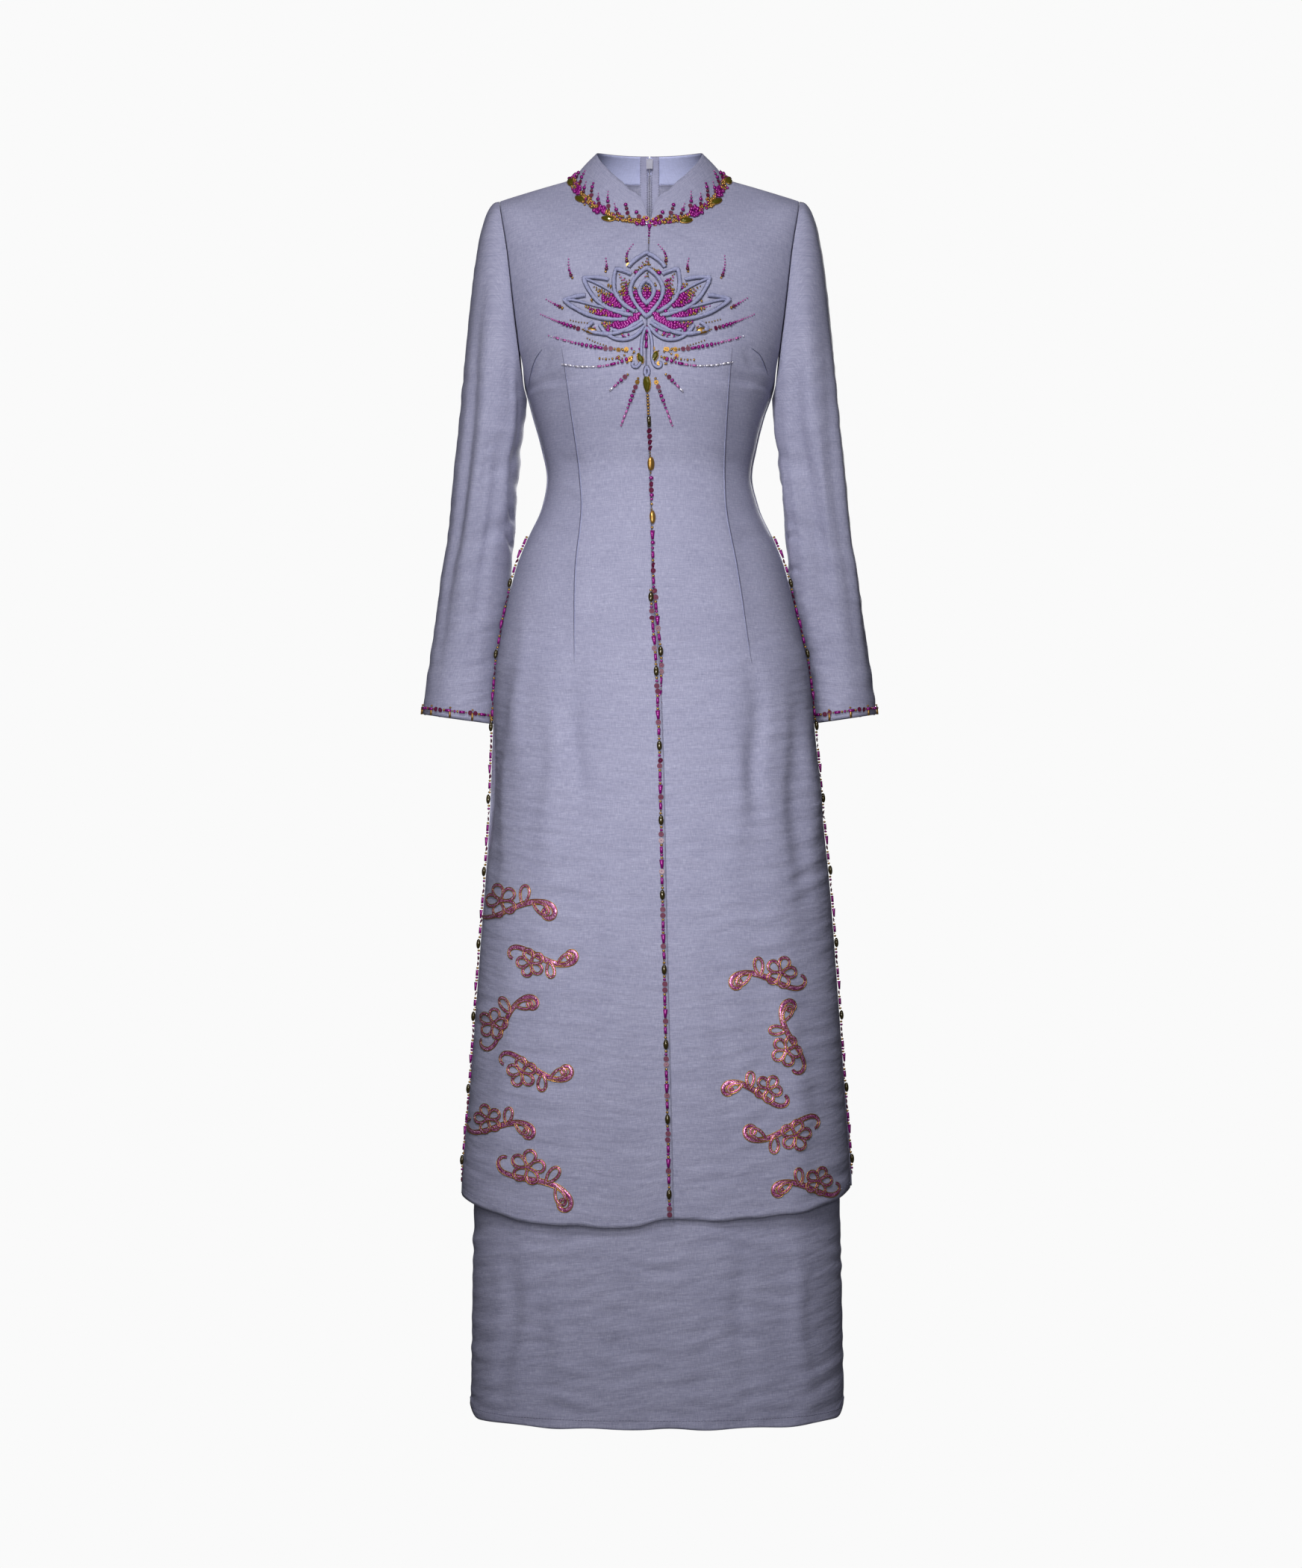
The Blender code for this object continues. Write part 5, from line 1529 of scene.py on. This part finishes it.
# Sprays up the collar: turn from the centre front, lean, length
SPRAYS = (
    (0.10, 0.06, 6), (0.24, 0.10, 9), (0.40, 0.12, 6), (0.55, 0.14, 10), (0.72, 0.12, 7), (0.88, 0.12, 9),
    (1.05, 0.10, 6), (1.22, 0.12, 9), (1.40, 0.08, 6), (1.56, 0.08, 5),
)
SPRAY_BEADS = (
    "gold bead, maroon sequin, 0.6, magenta bead, 1, pink seed, 1.2, pink dot",
    """gold bead, gold seed, maroon sequin, 0.6, maroon bead, 0.6, magenta bead, 1.2, magenta seed,
        1.4, pink seed, 2, silver bugle""",
    "gold bead, maroon bead, 0.6, magenta bead, 1, pink seed, 1.5, pink dot",
    """gold bugle, maroon sequin, 0.6, magenta bead, 1, magenta seed, 1.2, pink seed, 1.6, pink dot, 2,
        silver bugle""",
)


def below_neck(face, side, turn, down):
    """A place below the neck seam: turn from the centre, down in millimetres, and its way out."""
    row = np.array((PI / 2 - turn) / NECK_STATION)
    place = panel_of(face, side)
    width = float(np.linalg.norm(place(np.array(0.2), row) - place(np.array(0.0), row))) / 0.2
    return on_piece(place, np.array(down / width), row, -side * face)


def on_collar(side, turn, up):
    """A place on the outside of the collar: turn from the centre back, up from 0 to 1, and its way out."""
    return on_piece(lambda u, v: collar_place(side, u, -v), np.array(turn), np.array(-up), -side)


def band_beads(from_stone, turn):
    """The beads that the neck band draws from at a distance past the nearest stone."""
    if 6.5 <= from_stone <= 17:
        return ("magenta bead",)
    if -13 < from_stone <= -6.5:
        return "gold bead", "gold seed", "magenta seed"
    if turn < 0.12:
        return "magenta bead", "pink seed", "gold sequin"
    return "gold seed", "gold seed", "gold bead", "gold dot", "magenta seed"


def neck_band():
    """Beads along the neck seam: magenta beside the stones, gold between them, and sprays up the collar."""
    work = Beadwork("neck_band_beads")
    for side in (LEFT, RIGHT):
        stones_here = [math.radians(abs(angle)) for angle in NECK_STONES if angle * side > 0]
        turn = 0.02
        while turn < PI - 0.06:
            from_stone = min((turn - stone for stone in stones_here), key=abs) * NECK_RADIUS
            full = turn < BAND_FULL_TO
            for _ in range(5 if full else 2):
                off = (draw.random() - 0.42) * BAND_WIDTH * (1.0 if full else 0.35)
                if abs(from_stone) < 7 and off < 0.3:
                    off = 1 + 2.5 * draw.random()
                beads = band_beads(from_stone, turn)
                name = str(draw.choice(beads)) if len(beads) > 1 else beads[0]
                off *= 0.6 if len(beads) == 5 else 1.0
                if off > 0:
                    place, way = on_collar(side, PI - turn, min(off / COLLAR_HEIGHT, 0.9))
                else:
                    face, from_centre = (FRONT, turn) if turn < PI / 2 else (BACK, PI - turn)
                    place, way = below_neck(face, side, from_centre, -off + 0.6)
                angle = draw.random() * PI
                tangent = on_collar(side, PI - turn - 0.01, 0.02)[0] - on_collar(side, PI - turn, 0.02)[0]
                tangent = unit(tangent)
                along = tangent * math.cos(angle) + np.cross(way, tangent) * math.sin(angle)
                work.lay(name, place, way, along, 1.0 + 0.25 * draw.random())
            turn += BAND_STRIDE / NECK_RADIUS
        for k, (turn, lean, length) in enumerate(SPRAYS):
            steps = np.linspace(0, 1, 14)
            route = route_of(on_collar(side, PI - turn - lean * t, 0.05 + t * 0.052 * length) for t in steps)
            work.run(route, threaded(SPRAY_BEADS[k % len(SPRAY_BEADS)]), 1.1, jitter=0.3)
    # The small V at the notch, and the single line down to the lotus
    for side in (LEFT, RIGHT):
        for k, name in enumerate(("magenta bead", "silver bugle", "magenta bead", "gold seed")):
            spot = neckline(side * (1.5 + 2.4 * k), -63.5 + 2.4 * k)
            work.lay(name, *spot, np.array([side * 0.8, 0, 1.0]))
    route = on_front([(float(CENTRE("left", z)) - 0.6, z) for z in np.linspace(-64, -85, 24)])
    work.run(route, threaded("magenta bead, " + "magenta seed, 1.2, " * 3 + "gold dot, 1, " * 14))
    work.make()


neck_band()


# ---------------------------------------------------------------- centre line, slits and cuffs

# One repeat of the beads along an opening's edge, and round a cuff
EDGE_REPEAT = threaded("""
    gold seed, black oval, gold seed, magenta seed, 2 maroon sequin, gold seed, magenta bugle, magenta seed,
    gold seed, magenta drop, maroon sequin, gold seed, magenta bugle, gold dot
""")
CUFF_REPEAT = threaded("""
    2 maroon sequin, gold seed, magenta bugle, gold dot, magenta seed, gold seed, magenta bugle, gold dot
""")
CENTRE_BEADS = threaded("""
    3 gold seed, gold bead, 3 gold seed, 1, black bugle, 1, 4 maroon sequin, 1, gold dot, 1, gold dot, gold oval, 1,
    gold dot, 2, magenta bead, 1, 2 maroon sequin, magenta bead, magenta seed, 2, gold seed, 3, gold dot, gold tube,
    2, gold seed, 2, magenta drop, 1, magenta bead, 1.5, magenta seed, 2, magenta bugle, 1, gold seed,
    2 maroon sequin, 1, gold seed, magenta bugle, 1.5, magenta seed, 2, gold dot, gold oval, gold dot, 1.5,
    maroon sequin, magenta bead, 1, gold seed, 2, magenta drop, 1, maroon sequin, 1, gold seed, magenta bugle, 2,
    gold seed, gold oval, gold seed
""")
LAP_TOP_Z = -484.0
LINE_SCALE, CUFF_SCALE = 1.28, 1.2
# Beads round a cuff: how far above its edge each row lies
CUFF_LINE_UP, CUFF_BUGLES_UP, CUFF_SEEDS_UP, CUFF_BUGLES = 8.0, 4.2, 11.6, 11


def edge_route(side, inset, low_row, high_row, u_edge=0.0, count=260):
    """A route down a front panel's edge, a little in from it."""
    place = panel_of(FRONT, side)
    rows = np.linspace(low_row, high_row, count)
    inset = np.interp(rows, (low_row, low_row + 3), (min(inset, 2.6), inset))
    u, row = np.meshgrid(abs(u_edge - np.linspace(0, 0.3, 90)), rows)
    steps = np.linalg.norm(np.diff(place(u, row), axis=1), axis=-1)
    reach = np.concatenate([np.zeros((count, 1)), np.cumsum(steps, axis=1)], axis=1)
    u = np.array([np.interp(*spot) for spot in zip(inset, reach, u)])
    return on_piece(place, u, rows, -side * FRONT)


def opening_beads():
    work = Beadwork("centre_line_beads")
    line = [(float(CENTRE("left", z)), z) for z in np.linspace(-257, LAP_TOP_Z + 3, 200)]
    work.run(on_front(line), CENTRE_BEADS, LINE_SCALE, jitter=0.2)
    work.make()
    work = Beadwork("centre_slit_beads")
    route = edge_route(LEFT, 4.2, 19.9, 33.8, count=400)
    work.run(route, EDGE_REPEAT * 14, LINE_SCALE, jitter=0.4)
    route = edge_route(RIGHT, 2.0, 19.9, 23.4, count=120)
    work.run(route, EDGE_REPEAT[4:] + EDGE_REPEAT * 3, LINE_SCALE, jitter=0.4)
    work.make()
    work = Beadwork("side_slit_beads")
    for side in (LEFT, RIGHT):
        route = edge_route(side, 3.0, SLIT_ROW + 0.1, 33.7, 1.0, 400)
        work.run(route, EDGE_REPEAT[6:] + EDGE_REPEAT * 14, LINE_SCALE, jitter=0.8)
    work.make()


def cuff_beads(side):
    work = Beadwork(f"cuff_{SIDES[side]}_beads")

    def above_edge(turn, up):
        ring = CAP_RINGS + ARM_RINGS - up * ARM_RINGS / (SLEEVE_TOP_Z - CUFF_Z)
        place = lambda u, v: sleeve_place(side, u % (2 * PI), v)
        return on_piece(place, turn, np.full(np.shape(turn), ring), -side)

    route = above_edge(np.linspace(0, 2 * PI - 1e-3, 240), CUFF_LINE_UP)
    work.run(route, CUFF_REPEAT * 12, CUFF_SCALE, jitter=0.3)
    for k in range(CUFF_BUGLES):
        at = np.array(2 * PI * (k + 0.35) / CUFF_BUGLES)
        work.lay("gold bugle", *above_edge(at, CUFF_BUGLES_UP), leaning(0), 1.3)
        work.lay("gold seed", *above_edge(at, CUFF_SEEDS_UP), leaning(0))
    work.make()


opening_beads()
cuff_beads(LEFT)
cuff_beads(RIGHT)


# ---------------------------------------------------------------- sewing


def dart_folds():
    joined = Joined("dart_folds")
    for points in DARTS.values():
        route, ways = on_front(smooth_through(points, 110))
        swell = np.sin(np.linspace(0, PI, len(route))) ** 0.4
        joined.add(*tube(route - ways * 0.3, ways, 0.85 * swell + 0.12, 6, 0.8), bias)
        # Dark lines beside each fold are painted shade: wider on its outer side, where the front turns away
        outer = 1.05 if points[0][0] > 0 else -1.05
        for aside, radius in ((outer, 0.42), (-outer, 0.2)):
            edge = route + np.array([aside, 0, 0]) - ways * 0.1
            joined.add(*tube(edge, ways, radius * swell + 0.05, 5, 0.7), dark_thread)
    joined.make("silk_linen")


STITCH_POINTS = np.array([(x, y, z) for x in (-0.5, 0.5) for y in (-0.5, 0.5) for z in (0.0, 1.0)])
STITCH_FACES = [(0, 1, 3, 2), (4, 6, 7, 5), (0, 4, 5, 1), (2, 3, 7, 6), (1, 5, 7, 3), (0, 2, 6, 4)]


def stitch(stitches, route, length, gap, width, finish, height):
    """A row of stitches along a route, each a flat bar sunk a little into the cloth."""
    points, ways = route
    reach = run_length(points)
    places, axes, at = [], [], gap
    while at < reach[-1] - length:
        middle = at + length / 2
        place, way = read(points, reach, middle), unit(read(ways, reach, middle))
        along = read(points, reach, middle + 0.6) - place
        along = unit(along - way * along.dot(way))
        places.append(place - way * 0.05)
        axes.append(np.stack([along * length, np.cross(way, along) * width, way * height]))
        at += length + gap
    placed = np.einsum("vk,nkc->nvc", STITCH_POINTS, np.array(axes)) + np.array(places)[:, None]
    stitches.add(placed, STITCH_FACES, finish, False)


def sewing():
    """Stitches along the hems, and on both edges of each zip tape."""
    stitches = Joined("hem_stitches")
    u = np.linspace(0.03, 0.97, 160)
    for side in (LEFT, RIGHT):
        for face, row in ((FRONT, FRONT_ROWS - 0.175), (BACK, BACK_ROWS - 0.16)):
            route = on_piece(panel_of(face, side), u, np.full(160, row), -side * face)
            stitch(stitches, route, 1.8, 7.5, 0.45, thread, 0.35)
    # The flap's hem and the zip tapes lie in shade, so their stitches take the thread painted dark as shade
    flap = reader(sheets["front_under_flap"])
    route = route_of(flap(x, LONG_HEM_Z + 9.5) for x in np.linspace(-218, 226, 260))
    stitch(stitches, route, 2.6, 0.9, 0.4, dark_thread, 0.2)
    tapes = reader(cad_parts["zip_tape_left"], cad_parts["zip_tape_right"], from_y=0.0)
    for x in (-3.0, -10.2, 3.0, 10.2):
        route = route_of(tapes(x, z) for z in np.linspace(33, -130, 120))
        stitch(stitches, route, 1.7, 1.1, 0.4, dark_thread, 0.25)
    stitches.make("silk_linen")


dart_folds()
sewing()


# ---------------------------------------------------------------- glitter sprigs

# Blossom sprays low on the fronts: x, z, size, turn, which way they arch
SPRIGS = (
    (-142, -822, 72, 20, 1),
    (-112, -884, 60, -22, -1),
    (-156, -944, 66, 62, 1),
    (-120, -1008, 64, -30, -1),
    (-160, -1066, 62, 18, 1),
    (-116, -1128, 74, -12, 1),
    (124, -900, 66, 160, -1),
    (152, -962, 64, 118, 1),
    (112, -1024, 58, 148, -1),
    (140, -1076, 66, 206, 1),
    (168, -1132, 60, 158, -1),
)
STEM_STEPS, STEM_LENGTH, SPRAY_SCALE = 72, 1.65, 1.2
# How sharply the stem bends on its way: it curls tightly at its foot, arches, and curls back at its tip
STEM_BENDS = ((0, 0.12, 0.24, 0.5, 0.7, 0.84, 1), (22, 18, 2.2, -1.4, -4, -20, -27))
GLITTER_HEIGHT, RIM_RADIUS = 0.75, 0.62
# Places across a stroke, from one edge to the other
STROKE_PLACES = (-1, -0.6, 0, 0.6, 1)


def stroke(joined, path, widths, lift=0.0):
    """A domed stroke of glitter glue with a gilt cord along both edges."""
    points, ways = on_front(path)
    aside = np.cross(ways, unit(np.gradient(points, axis=0)))
    aside = aside * np.broadcast_to(widths, len(path))[: len(points), None]
    heights = [0.25 + lift + GLITTER_HEIGHT * math.sqrt(1 - k * k) for k in STROKE_PLACES]
    domed = [points + aside * k + ways * height for k, height in zip(STROKE_PLACES, heights)]
    starts = [5 * k + j for k in range(len(points) - 1) for j in range(4)]
    faces = [(start, start + 1, start + 6, start + 5) for start in starts]
    joined.add(np.stack(domed, axis=1).reshape(-1, 3), faces, rose_glitter)
    for edge in (-1, 1):
        rim = points + aside * edge + ways * (0.45 + lift)
        joined.add(*tube(rim, ways, RIM_RADIUS, 5, 1.0, 0.6), FINISHES["gilt"])


def loop(length, half_width, count=26):
    """A petal's or leaf's outline, from its foot round to its foot, leaning along X."""
    t = np.linspace(0, 2 * PI, count)
    aside = half_width * np.sin(t) * np.sin(t / 2) ** 0.6
    return np.stack([length * (0.5 - 0.5 * np.cos(t)), aside], axis=-1)


def turn_by(path, angle):
    path, cos, sin = np.asarray(path), math.cos(angle), math.sin(angle)
    return np.stack([path[:, 0] * cos - path[:, 1] * sin, path[:, 0] * sin + path[:, 1] * cos], axis=-1)


def sprigs():
    """Blossom sprays, each a stem curled at both ends, a flower and two leaves."""
    joined = Joined("glitter_sprigs")
    t = np.linspace(0, 1, STEM_STEPS)
    middle = STEM_STEPS // 2
    heading = np.cumsum(np.interp(t, *STEM_BENDS)) / STEM_STEPS
    heading = heading - heading[middle]
    stem = np.cumsum(np.stack([np.cos(heading), np.sin(heading)], axis=-1), axis=0) * STEM_LENGTH / STEM_STEPS
    stem = stem - stem[middle]
    heart = stem[int(0.36 * STEM_STEPS)] + (0.01, 0.15)
    # The strokes of one spray: path, where it starts, its lean, its half width and how far it is lifted
    strokes = [(stem, (0, 0), 0.0, 1.2 + 1.75 * np.sin(PI * t) ** 0.6, 0.0)]
    for petal in range(5):
        lean = math.radians(90 + 72 * petal)
        foot = heart + 0.02 * np.array([math.cos(lean), math.sin(lean)])
        strokes.append((loop(0.19, 0.085), foot, lean, 1.5, 0.5))
    strokes.append(([(k / 6 * 0.05 - 0.025, 0) for k in range(7)], heart, 0.0, 1.9, 0.9))
    for share, lean in ((0.52, 62), (0.6, -58)):
        strokes.append((loop(0.24, 0.07), stem[int(share * STEM_STEPS)], math.radians(lean), 1.35, 0.3))
    for x, z, size, turned, arch in SPRIGS:
        size = size * SPRAY_SCALE
        for path, spot, lean, widths, lift in strokes:
            path = (turn_by(path, lean) + spot) * (size, size * arch)
            stroke(joined, turn_by(path, math.radians(turned)) + (x, z), widths, lift)
    joined.make("cut_glass")


sprigs()


# ---------------------------------------------------------------- stage

FRAME_HEIGHT, MM_PER_PIXEL = 2100, 0.85
CAMERA_DISTANCE, HORIZON_Z, CAMERA_X = 4.0, -0.6877, 0.0017
SENSOR = 36.0
FLOOR_Z, FLOOR_RADIUS = -1.47, 14
# How strongly the paper round the object lights it, when the camera sees it at 1
PAPER_LIGHT = 0.055
PAPER = "#fafafa"
LAMPS = (
    # name, place, aim, size, power, spread
    ("high_beauty_dish", (-0.2, -1.5, 0.6), (0, 0, -0.4), 0.5, 11.0, 125),
    ("low_beauty_dish", (-0.15, -1.05, -0.65), (0, 0, -0.75), 0.35, 1.8, 110),
    ("front_fill", (0.0, -4.3, -0.4), (0, 0, -0.65), 0.9, 52, 180),
    ("back_beauty_dish", (0.4, 1.7, 0.0), (0, 0, -0.5), 0.8, 26, 180),
    ("back_fill", (-0.3, 4.3, -0.2), (0, 0, -0.6), 1.6, 66, 180),
)


def hang(name, data, place):
    holder = bpy.data.objects.new(name, data)
    bpy.context.scene.collection.objects.link(holder)
    holder.location = place
    return holder


def stage():
    camera = bpy.data.cameras.new("camera")
    camera.sensor_width = SENSOR
    camera.lens = SENSOR * CAMERA_DISTANCE / (FRAME_HEIGHT * MM_PER_PIXEL * MM)
    holder = hang("camera", camera, (CAMERA_X, -CAMERA_DISTANCE, HORIZON_Z))
    holder.rotation_euler = (PI / 2, 0, 0)
    bpy.context.scene.camera = holder
    for name, place, aim, size, power, angle in LAMPS:
        light = bpy.data.lights.new(name, "AREA")
        light.shape, light.size, light.energy, light.spread = "DISK", size, power, math.radians(angle)
        lamp = hang(name, light, place)
        lamp.visible_camera = False
        lamp.rotation_euler = (Vector(aim) - Vector(place)).to_track_quat("-Z", "Y").to_euler()
    deselect()
    bpy.ops.mesh.primitive_circle_add(vertices=96, radius=FLOOR_RADIUS, fill_type="NGON", location=(0, 0, FLOOR_Z))
    floor = bpy.context.object
    floor.name = "floor"
    made, tree = new_material("pale_paper_floor")
    shade(
        tree, Base_Color=colour("#000000"), Roughness=1.0, Specular_IOR_Level=0.0,
        Emission_Color=colour(PAPER), Emission_Strength=1.0,
    )
    floor.data.materials.append(made)
    floor.visible_diffuse = floor.visible_glossy = False
    world = bpy.data.worlds.new("pale_studio")
    bpy.context.scene.world = world
    world.use_nodes = True
    tree = world.node_tree
    tree.nodes.clear()
    seen = node(tree, "LightPath").outputs["Is Camera Ray"]
    strength = node(tree, "MapRange", {"Value": seen, "To Min": PAPER_LIGHT, "To Max": 1.0}).outputs["Result"]
    sky = node(tree, "Background", {"Color": colour(PAPER), "Strength": strength})
    node(tree, "OutputWorld", {"Surface": sky.outputs[0]})
    bpy.context.scene.view_settings.view_transform = "Standard"


stage()
